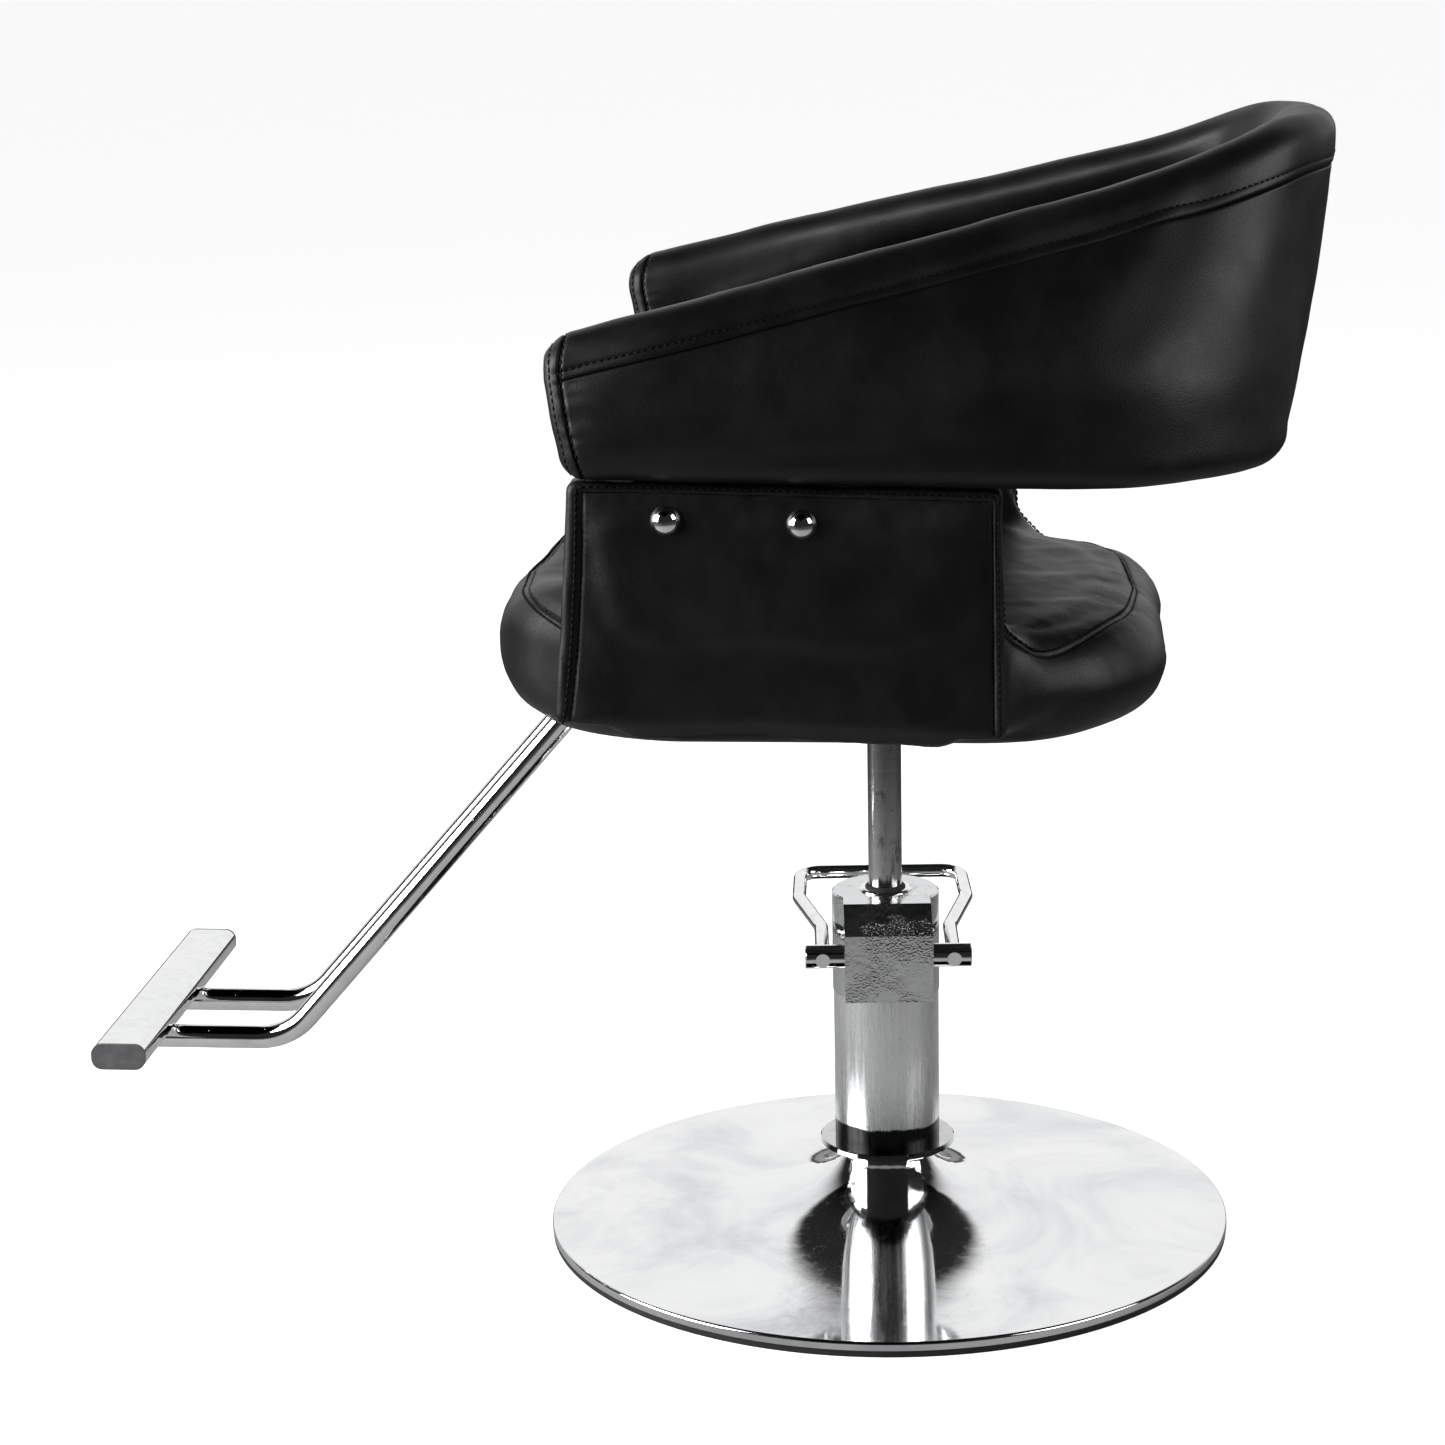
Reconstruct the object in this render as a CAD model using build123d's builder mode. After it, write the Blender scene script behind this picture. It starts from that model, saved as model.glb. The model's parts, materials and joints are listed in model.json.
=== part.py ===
"""Styling chair: chromed trumpet base, hydraulic foot pump, saddle seat and wrap-round back.

Frame: millimetres, +Z up, origin on the floor on the pump's axis.
-Y is the chair's front (the footrest), +X is the sitter's left.
The pump stands a few degrees off square, so its pieces use their own planes.
"""

from build123d import *
from math import cos, radians, sin, tan
import os

os.makedirs("parts", exist_ok=True)

# ---------------------------------------------------------------- clearances
fit = 0.05  # radial clearance of a running or located fit
touch_gap = 0.3  # between curved faces of two bodies that only meet
eps = 1.0  # how far a cutter runs past the face it opens
cut_margin = 60.0  # how far a large trimming outline runs past its piece
small_chamfer = 1.0
screw_head = 1.8  # radius of a screw's or bolt's head, as a multiple of its shank's
screw_short = 1.0  # how far a wood screw stays inside the far face
bolt_short = 2.0  # how far a bolt stays inside the board

# ---------------------------------------------------------------- base
base_r = 290.0
ring_h = 6.0  # rubber ring under the rim
ring_w = 20.0
rim_h = 13.0  # top of the chromed rim
rim_round = 2.5
shell_t = 2.0
neck_r = 37.0  # trumpet's neck
neck_z = 71.0  # top of the neck
flare_share = 0.53  # where the dome's curve leaves its shallow cone, as a share of its radius
flare_rise = 9.0
neck_flare = 7.0
neck_sweep = 17.0
ring_inset = 0.5
plate_t = 3.0  # ballast plate
hub_foot_r = 62.0
hub_foot_t = 6.0
hub_r = 31.0
hub_screw_pcd = 94.0
hub_screw_r = 4.0
hub_screw_count = 4
centre_bolt_r = 8.0
centre_head_r = 13.0
centre_head_h = 10.0
centre_hole_gap = 4.0  # hole in the ballast plate, round the bolt's head
centre_head_gap = 1.0  # pocket in the hub, round the same head
centre_bolt_proud = 2.0

# ---------------------------------------------------------------- pump
pump_turn = 5.0  # degrees the lever block is turned from the chair's left
foot_r = 57.3  # flange under the pump tube
foot_t = 9.0
foot_edge_t = 5.5
foot_under = 5.0  # how far the flange overhangs the neck before it slopes out
foot_spigot_h = 8.0
casing_r = 44.6
casing_wall = 2.5
casing_h = 132.0
cylinder_bore_r = 18.0
cylinder_wall = 6.0
cylinder_h = 152.0
head_r = 45.3
head_h = 87.0
head_spigot_h = 8.0
head_chamfer = 1.5
rod_r = 14.2
rod_collar_t = 4.0  # ledge under the guide bush
bush_h = 45.0
bush_wall = 3.7
rod_ledge_gap = 1.0
gland_r = 22.0
gland_h = 12.0
gland_sunk = 10.0
gland_gap = 0.8
gland_chamfer = 1.2
wiper_wall = 2.8
wiper_sunk = 4.0
wiper_h = 6.0

block_front = 92.0  # lever block, from the pump's axis to its front face
block_half_w = 36.4
block_bottom_z = 228.0
block_lip_z = 285.0  # top of the front face
shaft_u = 65.0  # cross shaft, forward of the pump's axis
shaft_z = 260.0
shaft_r = 10.0
shaft_half = 69.0
shaft_chamfer = 0.8
shaft_bore_gap = 0.5
shaft_bush_wall = 3.0
shaft_bush_l = 14.0
slot_half_w = 7.5  # slot in which the crank swings
slot_gap = 3.0
slot_floor_gap = 1.0
slot_wall_gap = 0.6  # slot's rear wall, behind the barrel's bore
block_wall = 8.0  # metal left at the front of the slot
crank_hub_r = 15.0
crank_tip_r = 5.0
crank_web = 7.0  # depth of the arm between hub and tip
crank_side_gap = 0.5
crank_pin_r = 2.5
crank_pin_sunk = 0.5
pedal_travel = 22.0  # degrees from rest to fully pressed

wire_r = 6.0
wire_half_gap = 54.5  # half the spacing of the wire's ends in the shaft
wire_proud = 1.0
pedal_rise = 3.0  # degrees the pedal climbs away from the shaft at rest
pedal_run = 70.0  # straight run beside the head
pedal_spread = 145.0  # where the arms are widest
pedal_reach = 213.0  # from the shaft to the cross bar
pedal_half_w = 72.5
pedal_bar_half = 70.5
pedal_bend_r = 26.0
pedal_corner_r = 18.0
grub_r = 3.0
grub_run = 2.0  # how far the tapped hole runs past the wire
grub_sunk = 1.0

plunger_r = 4.5
plunger_l = 90.0
plunger_cap_r = 6.5
plunger_cap_h = 6.0
barrel_r = 7.0
barrel_l = 72.0
spring_wire_r = 0.6
spring_turns = 8
spring_gap = 0.4  # between the spring's wire and the plunger
spring_room = 33.0  # from the barrel's top to the plunger's cap

piston_h = 20.0
piston_ledge = 4.0  # solid floor of the piston under the rod's spigot
piston_z = 206.0  # underside of the piston at this height of the seat
seal_t = 3.0
seal_h = 5.0
spigot_r = 10.0
washer_t = 2.0

# ---------------------------------------------------------------- seat
seat_half_w = 250.0  # cushion, also the inner face of the wings
seat_front = -314.0
seat_rear = 232.0
seat_corner_r = 125.0
seat_bottom = 480.0
seat_top = 568.0
seat_top_round = 34.0
seat_bottom_round = 24.0
board_inset = 24.0  # plywood board inside the cushion's sides
board_end_inset = 42.0  # and inside its front and rear, where the cushion curls under
board_lift = 6.0  # underside of the plywood board, above the cushion's lowest edge
board_t = 16.0
cover_t = 2.0
cover_gap = 1.0
plate_thick = 6.0
plate_len = 200.0
plate_wid = 170.0
plate_corner_r = 12.0
plate_bolt_y = 150.0
plate_bolt_x = 130.0
plate_bolt_r = 4.0
bolt_head_h = 5.5
socket_r = 21.0
socket_below = 26.0  # how far the socket hangs under the plate
taper_len = 42.0
taper_top_r = 12.1

wing_inner_pad = 15.0  # foam on the wing's inner side, then its plywood, then its outer foam
wing_core_t = 12.0
wing_outer_pad = 8.0
wing_front_top = (-221.0, 697.0)
wing_front_low = (-236.0, 510.0)
wing_rear_low = (108.0, 498.0)
wing_rear_top = (105.0, 688.0)
wing_round = 9.0
wing_edge_round = 7.0
core_inset = 13.0
steel_t = 3.0
bracket_y = (-150.0, 30.0)
bracket_leg = 62.0
bracket_top = 600.0
bracket_screw_r = 3.0
bracket_screw_up = 14.0  # above the middle of the bracket's upright leg
bracket_screw_share = 0.25  # from each end of the bracket, as a share of its length
leg_screw_in = 14.0  # from the tip of the bracket's flat leg
strap_y = (-172.0, -18.0)
strap_z = (636.0, 790.0)
dome_y_z = ((-146.0, 668.0), (-44.0, 665.0))
dome_r = 11.5
dome_h = 9.0
dome_shank_r = 4.0
dome_nut_r = 6.5
dome_nut_h = 6.0
dome_shank_proud = 1.0
strap_corner_r = 10.0
strap_screw_y = (-140.0, -60.0)
strap_screw_z = 748.0

# ---------------------------------------------------------------- back band
band_levels = (690.0, 790.0, 960.0)  # heights of the three plans that the band is lofted through
band_rear = (320.0, 339.0, 372.0)  # rear of each plan: the back leans out
band_top_half = 80.0  # half width of the upper plan at its rear: the rim's sides close in
band_corner = (165.0, 190.0, 90.0)
band_thick = 54.0
band_skin = 20.0  # padding outside the plywood
shell_ply = 12.0
band_front = (-212.0, -236.0, -228.0)  # arm's front edge: low, middle, top
band_front_z = (700.0, 775.0, 808.0)
band_top_z = 951.0
band_top_y = 305.0  # where the rising rim levels off
shell_margin = 40.0

# ---------------------------------------------------------------- footrest
tube_r = 10.0
tube_wall = 1.5
tube_x = 50.0
tube_z = 176.0
tube_corner_y = -508.5  # where the two straight runs would meet
tube_angle = 48.8  # degrees above level
tube_bend_r = 55.0
bar_y = -626.6
bar_z = 195.1
bar_w = 45.5
bar_h = 22.0
bar_half = 162.0
bar_corner_r = 9.0
bar_wall = 1.5
cap_t = 3.0
cap_plug = 12.0
tube_over = 30.0  # the tube's path runs this far past the plate it is cut to
foot_plate_y = (-266.0, -205.0)
foot_plate_half = 84.0
foot_bolt_x = 72.0
foot_bolt_r = 3.0
foot_bolt_share = 0.6  # spacing of the plate's bolts, as a share of its depth

# ---------------------------------------------------------------- worked out
plate_top = ring_h + plate_t
hub_top = neck_z
foot_top = neck_z + foot_t
casing_in = casing_r - casing_wall
casing_top = foot_top + casing_h
head_z = casing_top
head_top = head_z + head_h
cylinder_out = cylinder_bore_r + cylinder_wall
cylinder_z = foot_top + foot_spigot_h
cylinder_top = cylinder_z + cylinder_h
bush_z = cylinder_top + rod_collar_t
bush_out = rod_r + fit + bush_wall
plunger_u = (cylinder_out + casing_in) / 2
crank_arm = shaft_u - plunger_u
crank_up = pedal_travel / 2
tip_low_z = shaft_z + crank_arm * sin(radians(crank_up)) - crank_tip_r
plunger_top = tip_low_z - touch_gap
cap_low = plunger_top - plunger_cap_h
slot_low = shaft_z - crank_hub_r - slot_floor_gap
slot_high = shaft_z + crank_hub_r + slot_gap
slot_back = plunger_u - barrel_r - slot_wall_gap
slot_front = block_front - block_wall
barrel_top = cap_low - spring_room
pump_u = (cos(radians(pump_turn)), sin(radians(pump_turn)), 0)
pump_v = (-sin(radians(pump_turn)), cos(radians(pump_turn)), 0)
pump_side = Plane(origin=(0, 0, 0), x_dir=pump_u, z_dir=(-pump_v[0], -pump_v[1], 0))
rod_shoulder = piston_z + piston_h + washer_t
board_z = seat_bottom + board_lift
board_top = board_z + board_t
socket_z = board_z - plate_thick - socket_below
plate_z = board_z - plate_thick
wing_core_in = seat_half_w + wing_inner_pad
wing_core_out = wing_core_in + wing_core_t
wing_out = wing_core_out + wing_outer_pad
band_half_w = wing_core_in + band_skin + shell_ply
band_rear_half = (band_half_w, band_half_w, band_top_half)
strap_out = wing_core_in
strap_in = strap_out - steel_t
shell_in = band_skin + shell_ply
dome_curve_r = (dome_r**2 + dome_h**2) / (2 * dome_h)
flare_r = base_r * flare_share
grub_depth = shaft_half - wire_half_gap + wire_r + grub_run
spring_mean_r = plunger_r + spring_wire_r + spring_gap
spring_low = barrel_top + spring_wire_r
spring_turns_h = cap_low - barrel_top - 2 * spring_wire_r
foot_bolt_y = (foot_plate_y[1] - foot_plate_y[0]) * foot_bolt_share
bracket_l = bracket_y[1] - bracket_y[0]
screw_y = (
    bracket_y[0] + bracket_screw_share * bracket_l,
    bracket_y[1] - bracket_screw_share * bracket_l,
)
bracket_screw_z = (bracket_top + board_top) / 2 + bracket_screw_up
leg_screw_x = strap_out - bracket_leg + leg_screw_in
leg_head_r = 2 * bracket_screw_r
leg_head_h = bracket_screw_r + 1
dome_shank_end = strap_in - dome_nut_h - dome_shank_proud
tube_top_y = tube_corner_y + (plate_z + tube_over - tube_z) / tan(radians(tube_angle))


def save(part, name):
    """Labels a finished piece and writes it under its own name."""
    part.label = name
    export_step(part, f"parts/{name}.step")


def pump_axis_plane(u, z, v=0.0):
    """Plan-view plane whose origin is u forward, v across and z up in the pump's own frame."""
    return Plane(
        origin=(u * pump_u[0] + v * pump_v[0], u * pump_u[1] + v * pump_v[1], z),
        x_dir=pump_u,
        z_dir=(0, 0, 1),
    )


# ================================================================ base
with BuildPart() as base_shell:
    with BuildSketch(Plane.XZ):
        with BuildLine():
            Line((base_r, ring_h), (base_r, rim_h - rim_round))
            RadiusArc((base_r, rim_h - rim_round), (base_r - rim_round, rim_h), -rim_round)
            Bezier(
                (base_r - rim_round, rim_h),
                (flare_r, rim_h + flare_rise),
                (neck_r + neck_flare, rim_h + neck_sweep),
                (neck_r, neck_z),
            )
            Line((neck_r, neck_z), (neck_r - shell_t, neck_z))
            Bezier(
                (neck_r - shell_t, neck_z),
                (neck_r + neck_flare - 1.5 * shell_t, rim_h + neck_sweep - 2 * shell_t),
                (flare_r, rim_h + flare_rise - shell_t),
                (base_r - shell_t, rim_h - shell_t),
            )
            Line((base_r - shell_t, rim_h - shell_t), (base_r - shell_t, ring_h))
            Line((base_r - shell_t, ring_h), (base_r, ring_h))
        make_face()
    revolve(axis=Axis.Z)
save(base_shell.part, "base_shell")

with BuildPart() as base_rubber_ring:
    with BuildSketch():
        Circle(base_r - ring_inset)
        Circle(base_r - ring_w, mode=Mode.SUBTRACT)
    extrude(amount=ring_h)
    chamfer(base_rubber_ring.edges().group_by(Axis.Z)[0], small_chamfer)
save(base_rubber_ring.part, "base_rubber_ring")

with BuildPart() as base_plate:
    with BuildSketch(Plane.XY.offset(ring_h)):
        Circle(base_r - shell_t - fit)
        Circle(centre_head_r + centre_hole_gap, mode=Mode.SUBTRACT)
        with PolarLocations(hub_screw_pcd / 2, hub_screw_count):
            Circle(hub_screw_r + fit, mode=Mode.SUBTRACT)
    extrude(amount=plate_t)
save(base_plate.part, "base_plate")

with BuildPart() as base_hub:
    with BuildSketch(Plane.XY.offset(plate_top)):
        Circle(hub_foot_r)
        with PolarLocations(hub_screw_pcd / 2, hub_screw_count):
            Circle(hub_screw_r + fit, mode=Mode.SUBTRACT)
    extrude(amount=hub_foot_t)
    with BuildSketch(Plane.XY.offset(plate_top)):
        Circle(hub_r)
    extrude(amount=hub_top - plate_top)
    with BuildSketch(Plane.XY.offset(plate_top)):
        Circle(centre_head_r + centre_head_gap)
    extrude(amount=centre_head_h, mode=Mode.SUBTRACT)
    with BuildSketch(Plane.XY.offset(plate_top)):
        Circle(centre_bolt_r + 2 * fit)
    extrude(amount=hub_top - plate_top, mode=Mode.SUBTRACT)
save(base_hub.part, "base_hub")

with BuildPart() as hub_screws:
    with BuildSketch(Plane.XY.offset(ring_h)):
        with PolarLocations(hub_screw_pcd / 2, hub_screw_count):
            Circle(hub_screw_r)
    extrude(amount=plate_t + hub_foot_t)
    with BuildSketch(Plane.XY.offset(ring_h)):
        with PolarLocations(hub_screw_pcd / 2, hub_screw_count):
            Circle(hub_screw_r * screw_head)
    extrude(amount=-hub_screw_r * (screw_head - 1))
save(hub_screws.part, "hub_screws")

with BuildPart() as centre_bolt:
    with BuildSketch(Plane.XY.offset(plate_top)):
        RegularPolygon(centre_head_r, 6)
    extrude(amount=centre_head_h)
    with BuildSketch(Plane.XY.offset(plate_top)):
        Circle(centre_bolt_r)
    extrude(amount=foot_top - plate_top + centre_bolt_proud)
save(centre_bolt.part, "centre_bolt")

# ================================================================ pump body
with BuildPart() as pump_foot:
    with BuildSketch(Plane.XZ):
        with BuildLine():
            Polyline(
                (centre_bolt_r + fit, neck_z),
                (neck_r + foot_under, neck_z),
                (foot_r - small_chamfer, foot_top - foot_edge_t),
                (foot_r, foot_top - foot_edge_t + small_chamfer),
                (foot_r, foot_top - small_chamfer),
                (foot_r - small_chamfer, foot_top),
                (casing_in - fit, foot_top),
                (casing_in - fit, foot_top + foot_spigot_h),
                (centre_bolt_r + fit, foot_top + foot_spigot_h),
                close=True,
            )
        make_face()
    revolve(axis=Axis.Z)
save(pump_foot.part, "pump_foot")

with BuildPart() as pump_casing:
    with BuildSketch(Plane.XY.offset(foot_top)):
        Circle(casing_r)
        Circle(casing_in, mode=Mode.SUBTRACT)
    extrude(amount=casing_h)
save(pump_casing.part, "pump_casing")

with BuildPart() as inner_cylinder:
    with BuildSketch(Plane.XY.offset(cylinder_z)):
        Circle(cylinder_out)
        Circle(cylinder_bore_r, mode=Mode.SUBTRACT)
    extrude(amount=cylinder_h)
save(inner_cylinder.part, "inner_cylinder")

with BuildPart() as pump_head:
    with BuildSketch(Plane.XY.offset(head_z)):
        Circle(head_r)
    extrude(amount=head_h)
    with BuildSketch(Plane.XY.offset(head_z)):
        Circle(casing_in - fit)
    extrude(amount=-head_spigot_h)
    with BuildSketch(pump_side):
        with BuildLine():
            Polyline(
                (head_r / 2, block_bottom_z),
                (block_front, block_bottom_z),
                (block_front, block_lip_z),
                (head_r, head_top),
                (head_r / 2, head_top),
                close=True,
            )
        make_face()
    extrude(amount=block_half_w, both=True)
    chamfer(pump_head.faces().sort_by(Axis.Z)[-1].edges().filter_by(GeomType.CIRCLE), head_chamfer)
    # slot for the crank
    with BuildSketch(pump_side):
        with Locations(((slot_back + slot_front) / 2, (slot_low + slot_high) / 2)):
            Rectangle(slot_front - slot_back, slot_high - slot_low)
    extrude(amount=slot_half_w, both=True, mode=Mode.SUBTRACT)
    # cross bore for the shaft, wider at both ends for its bushes
    with BuildSketch(pump_side):
        with Locations((shaft_u, shaft_z)):
            Circle(shaft_r + shaft_bore_gap)
    extrude(amount=block_half_w, both=True, mode=Mode.SUBTRACT)
    for across in (block_half_w, -block_half_w):
        with BuildSketch(pump_side.offset(across)):
            with Locations((shaft_u, shaft_z)):
                Circle(shaft_r + fit + shaft_bush_wall)
        extrude(
            amount=-shaft_bush_l if across > 0 else shaft_bush_l,
            mode=Mode.SUBTRACT,
        )
    # bore for the plunger's barrel, open up to the crank slot
    with BuildSketch(pump_axis_plane(plunger_u, head_z - head_spigot_h)):
        Circle(barrel_r + fit)
    extrude(amount=slot_low - head_z + head_spigot_h, mode=Mode.SUBTRACT)
    # bores on the pump's axis: cylinder, rod, guide bush and gland
    with BuildSketch(Plane.XY.offset(head_z - head_spigot_h)):
        Circle(cylinder_out + fit)
    extrude(amount=cylinder_top - head_z + head_spigot_h, mode=Mode.SUBTRACT)
    with BuildSketch(Plane.XY.offset(cylinder_top)):
        Circle(rod_r + rod_ledge_gap)
    extrude(amount=rod_collar_t, mode=Mode.SUBTRACT)
    with BuildSketch(Plane.XY.offset(bush_z)):
        Circle(bush_out + fit)
    extrude(amount=head_top - bush_z, mode=Mode.SUBTRACT)
    with BuildSketch(Plane.XY.offset(head_top - gland_sunk)):
        Circle(gland_r + fit)
    extrude(amount=gland_sunk, mode=Mode.SUBTRACT)
save(pump_head.part, "pump_head")

with BuildPart() as rod_guide_bush:
    with BuildSketch(Plane.XY.offset(bush_z)):
        Circle(bush_out)
        Circle(rod_r + fit, mode=Mode.SUBTRACT)
    extrude(amount=head_top - gland_sunk - bush_z)
save(rod_guide_bush.part, "rod_guide_bush")

with BuildPart() as gland_nut:
    with BuildSketch(Plane.XY.offset(head_top - gland_sunk)):
        Circle(gland_r)
        Circle(rod_r + gland_gap, mode=Mode.SUBTRACT)
    extrude(amount=gland_h)
    gland_edges = gland_nut.faces().sort_by(Axis.Z)[-1].edges()
    chamfer(gland_edges.sort_by(SortBy.RADIUS)[-1], gland_chamfer)
    with BuildSketch(Plane.XY.offset(head_top - gland_sunk + gland_h - wiper_sunk)):
        Circle(rod_r + fit + wiper_wall)
    extrude(amount=wiper_sunk, mode=Mode.SUBTRACT)
save(gland_nut.part, "gland_nut")

with BuildPart() as rod_wiper:
    with BuildSketch(Plane.XY.offset(head_top - gland_sunk + gland_h - wiper_sunk)):
        Circle(rod_r + wiper_wall)
        Circle(rod_r + fit, mode=Mode.SUBTRACT)
    extrude(amount=wiper_h)
    wiper_edges = rod_wiper.faces().sort_by(Axis.Z)[-1].edges()
    chamfer(wiper_edges.sort_by(SortBy.RADIUS)[-1], small_chamfer)
save(rod_wiper.part, "rod_wiper")

with BuildPart() as shaft_bushes:
    for across in (block_half_w, -block_half_w):
        with BuildSketch(pump_side.offset(across)):
            with Locations((shaft_u, shaft_z)):
                Circle(shaft_r + shaft_bush_wall)
                Circle(shaft_r + fit, mode=Mode.SUBTRACT)
        extrude(amount=-shaft_bush_l if across > 0 else shaft_bush_l)
save(shaft_bushes.part, "shaft_bushes")

with BuildPart() as plunger_barrel:
    with BuildSketch(pump_axis_plane(plunger_u, barrel_top)):
        Circle(barrel_r)
        Circle(plunger_r + fit, mode=Mode.SUBTRACT)
    extrude(amount=-barrel_l)
save(plunger_barrel.part, "plunger_barrel")

# ================================================================ pedal
with BuildPart() as lever_shaft:
    with BuildSketch(pump_side):
        with Locations((shaft_u, shaft_z)):
            Circle(shaft_r)
    extrude(amount=shaft_half, both=True)
    chamfer(lever_shaft.edges().filter_by(GeomType.CIRCLE), shaft_chamfer)
    for across in (wire_half_gap, -wire_half_gap):
        rise = radians(pedal_rise)
        bore = Plane(
            origin=tuple(shaft_u * pump_u[i] + across * pump_v[i] for i in (0, 1)) + (shaft_z,),
            x_dir=(pump_v[0], pump_v[1], 0),
            z_dir=(-cos(rise) * pump_u[0], -cos(rise) * pump_u[1], sin(rise)),
        )
        with BuildSketch(bore):
            Circle(wire_r + fit)
        extrude(amount=2 * shaft_r, both=True, mode=Mode.SUBTRACT)
    # screw holes from the two ends down past the wire, and the crank pin's hole
    for across in (shaft_half, -shaft_half):
        with BuildSketch(pump_side.offset(across)):
            with Locations((shaft_u, shaft_z)):
                Circle(grub_r + fit)
        extrude(amount=-grub_depth if across > 0 else grub_depth, mode=Mode.SUBTRACT)
    with BuildSketch(pump_axis_plane(shaft_u, shaft_z)):
        Circle(crank_pin_r + fit)
    extrude(amount=crank_hub_r, both=True, mode=Mode.SUBTRACT)
save(lever_shaft.part, "lever_shaft")

pedal_plane = Plane(
    origin=(shaft_u * pump_u[0], shaft_u * pump_u[1], shaft_z),
    x_dir=(
        -cos(radians(pedal_rise)) * pump_u[0],
        -cos(radians(pedal_rise)) * pump_u[1],
        sin(radians(pedal_rise)),
    ),
    z_dir=(
        sin(radians(pedal_rise)) * pump_u[0],
        sin(radians(pedal_rise)) * pump_u[1],
        cos(radians(pedal_rise)),
    ),
)
with BuildPart() as pedal_loop:
    with BuildLine(pedal_plane) as pedal_path:
        FilletPolyline(
            (-shaft_r - wire_proud, wire_half_gap),
            (pedal_run, wire_half_gap),
            (pedal_spread, pedal_half_w),
            (pedal_reach, pedal_bar_half),
            (pedal_reach, -pedal_bar_half),
            (pedal_spread, -pedal_half_w),
            (pedal_run, -wire_half_gap),
            (-shaft_r - wire_proud, -wire_half_gap),
            radius=[
                pedal_bend_r,
                pedal_bend_r,
                pedal_corner_r,
                pedal_corner_r,
                pedal_bend_r,
                pedal_bend_r,
            ],
        )
    with BuildSketch(Plane(origin=pedal_path.line @ 0, z_dir=pedal_path.line % 0)):
        Circle(wire_r)
    sweep()
save(pedal_loop.part, "pedal_loop")

with BuildPart() as pedal_set_screws:
    for across in (1, -1):
        with BuildSketch(pump_side.offset(across * (wire_half_gap + wire_r + touch_gap))):
            with Locations((shaft_u, shaft_z)):
                Circle(grub_r)
        extrude(amount=across * (shaft_half - wire_half_gap - wire_r - 2 * touch_gap - grub_sunk))
save(pedal_set_screws.part, "pedal_set_screws")

tip_u = shaft_u - crank_arm * cos(radians(crank_up))
tip_z = shaft_z + crank_arm * sin(radians(crank_up))
with BuildPart() as lever_crank:
    with BuildSketch(pump_side):
        with Locations((shaft_u, shaft_z)):
            Circle(crank_hub_r)
        with Locations((tip_u, tip_z)):
            Circle(crank_tip_r)
        with Locations(((shaft_u + tip_u) / 2, (shaft_z + tip_z) / 2)):
            Rectangle(crank_arm, crank_web, rotation=-crank_up)
        with Locations((shaft_u, shaft_z)):
            Circle(shaft_r + fit, mode=Mode.SUBTRACT)
    extrude(amount=slot_half_w - crank_side_gap, both=True)
    with BuildSketch(pump_axis_plane(shaft_u, shaft_z)):
        Circle(crank_pin_r + fit)
    extrude(amount=crank_hub_r + eps, both=True, mode=Mode.SUBTRACT)
save(lever_crank.part, "lever_crank")

with BuildPart() as crank_pin:
    with BuildSketch(pump_axis_plane(shaft_u, shaft_z)):
        Circle(crank_pin_r)
    extrude(amount=crank_hub_r - crank_pin_sunk, both=True)
save(crank_pin.part, "crank_pin")

# ================================================================ plunger
with BuildPart() as pump_plunger:
    with BuildSketch(pump_axis_plane(plunger_u, cap_low)):
        Circle(plunger_cap_r)
    extrude(amount=plunger_cap_h)
    with BuildSketch(pump_axis_plane(plunger_u, cap_low)):
        Circle(plunger_r)
    extrude(amount=-plunger_l)
save(pump_plunger.part, "pump_plunger")

with BuildPart() as plunger_spring:
    with BuildLine(pump_axis_plane(plunger_u, spring_low)) as spring_path:
        Helix(spring_turns_h / spring_turns, spring_turns_h, spring_mean_r)
    with BuildSketch(Plane(origin=spring_path.line @ 0, z_dir=spring_path.line % 0)):
        Circle(spring_wire_r)
    sweep(is_frenet=True)
save(plunger_spring.part, "plunger_spring")

# ================================================================ piston
with BuildPart() as piston:
    with BuildSketch(Plane.XY.offset(piston_z)):
        Circle(cylinder_bore_r - fit)
    extrude(amount=piston_h)
    with BuildSketch(Plane.XY.offset(piston_z + piston_ledge)):
        Circle(spigot_r + fit)
    extrude(amount=piston_h - piston_ledge, mode=Mode.SUBTRACT)
    with BuildSketch(Plane.XY.offset(piston_z + (piston_h - seal_h) / 2)):
        Circle(cylinder_bore_r)
        Circle(cylinder_bore_r - seal_t, mode=Mode.SUBTRACT)
    extrude(amount=seal_h, mode=Mode.SUBTRACT)
save(piston.part, "piston")

with BuildPart() as piston_seal:
    with BuildSketch(Plane.XY.offset(piston_z + (piston_h - seal_h) / 2)):
        Circle(cylinder_bore_r - fit / 2)
        Circle(cylinder_bore_r - seal_t, mode=Mode.SUBTRACT)
    extrude(amount=seal_h)
save(piston_seal.part, "piston_seal")

with BuildPart() as thrust_washer:
    with BuildSketch(Plane.XY.offset(piston_z + piston_h)):
        Circle(rod_r)
        Circle(spigot_r + fit, mode=Mode.SUBTRACT)
    extrude(amount=washer_t)
save(thrust_washer.part, "thrust_washer")

# ================================================================ rod and seat plate
with BuildPart() as piston_rod:
    with BuildSketch(Plane.XZ):
        with BuildLine():
            Polyline(
                (0, piston_z + piston_ledge + touch_gap),
                (spigot_r, piston_z + piston_ledge + touch_gap),
                (spigot_r, rod_shoulder),
                (rod_r, rod_shoulder),
                (rod_r, socket_z),
                (taper_top_r, socket_z + taper_len),
                (0, socket_z + taper_len),
                close=True,
            )
        make_face()
    revolve(axis=Axis.Z)
save(piston_rod.part, "piston_rod")

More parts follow.
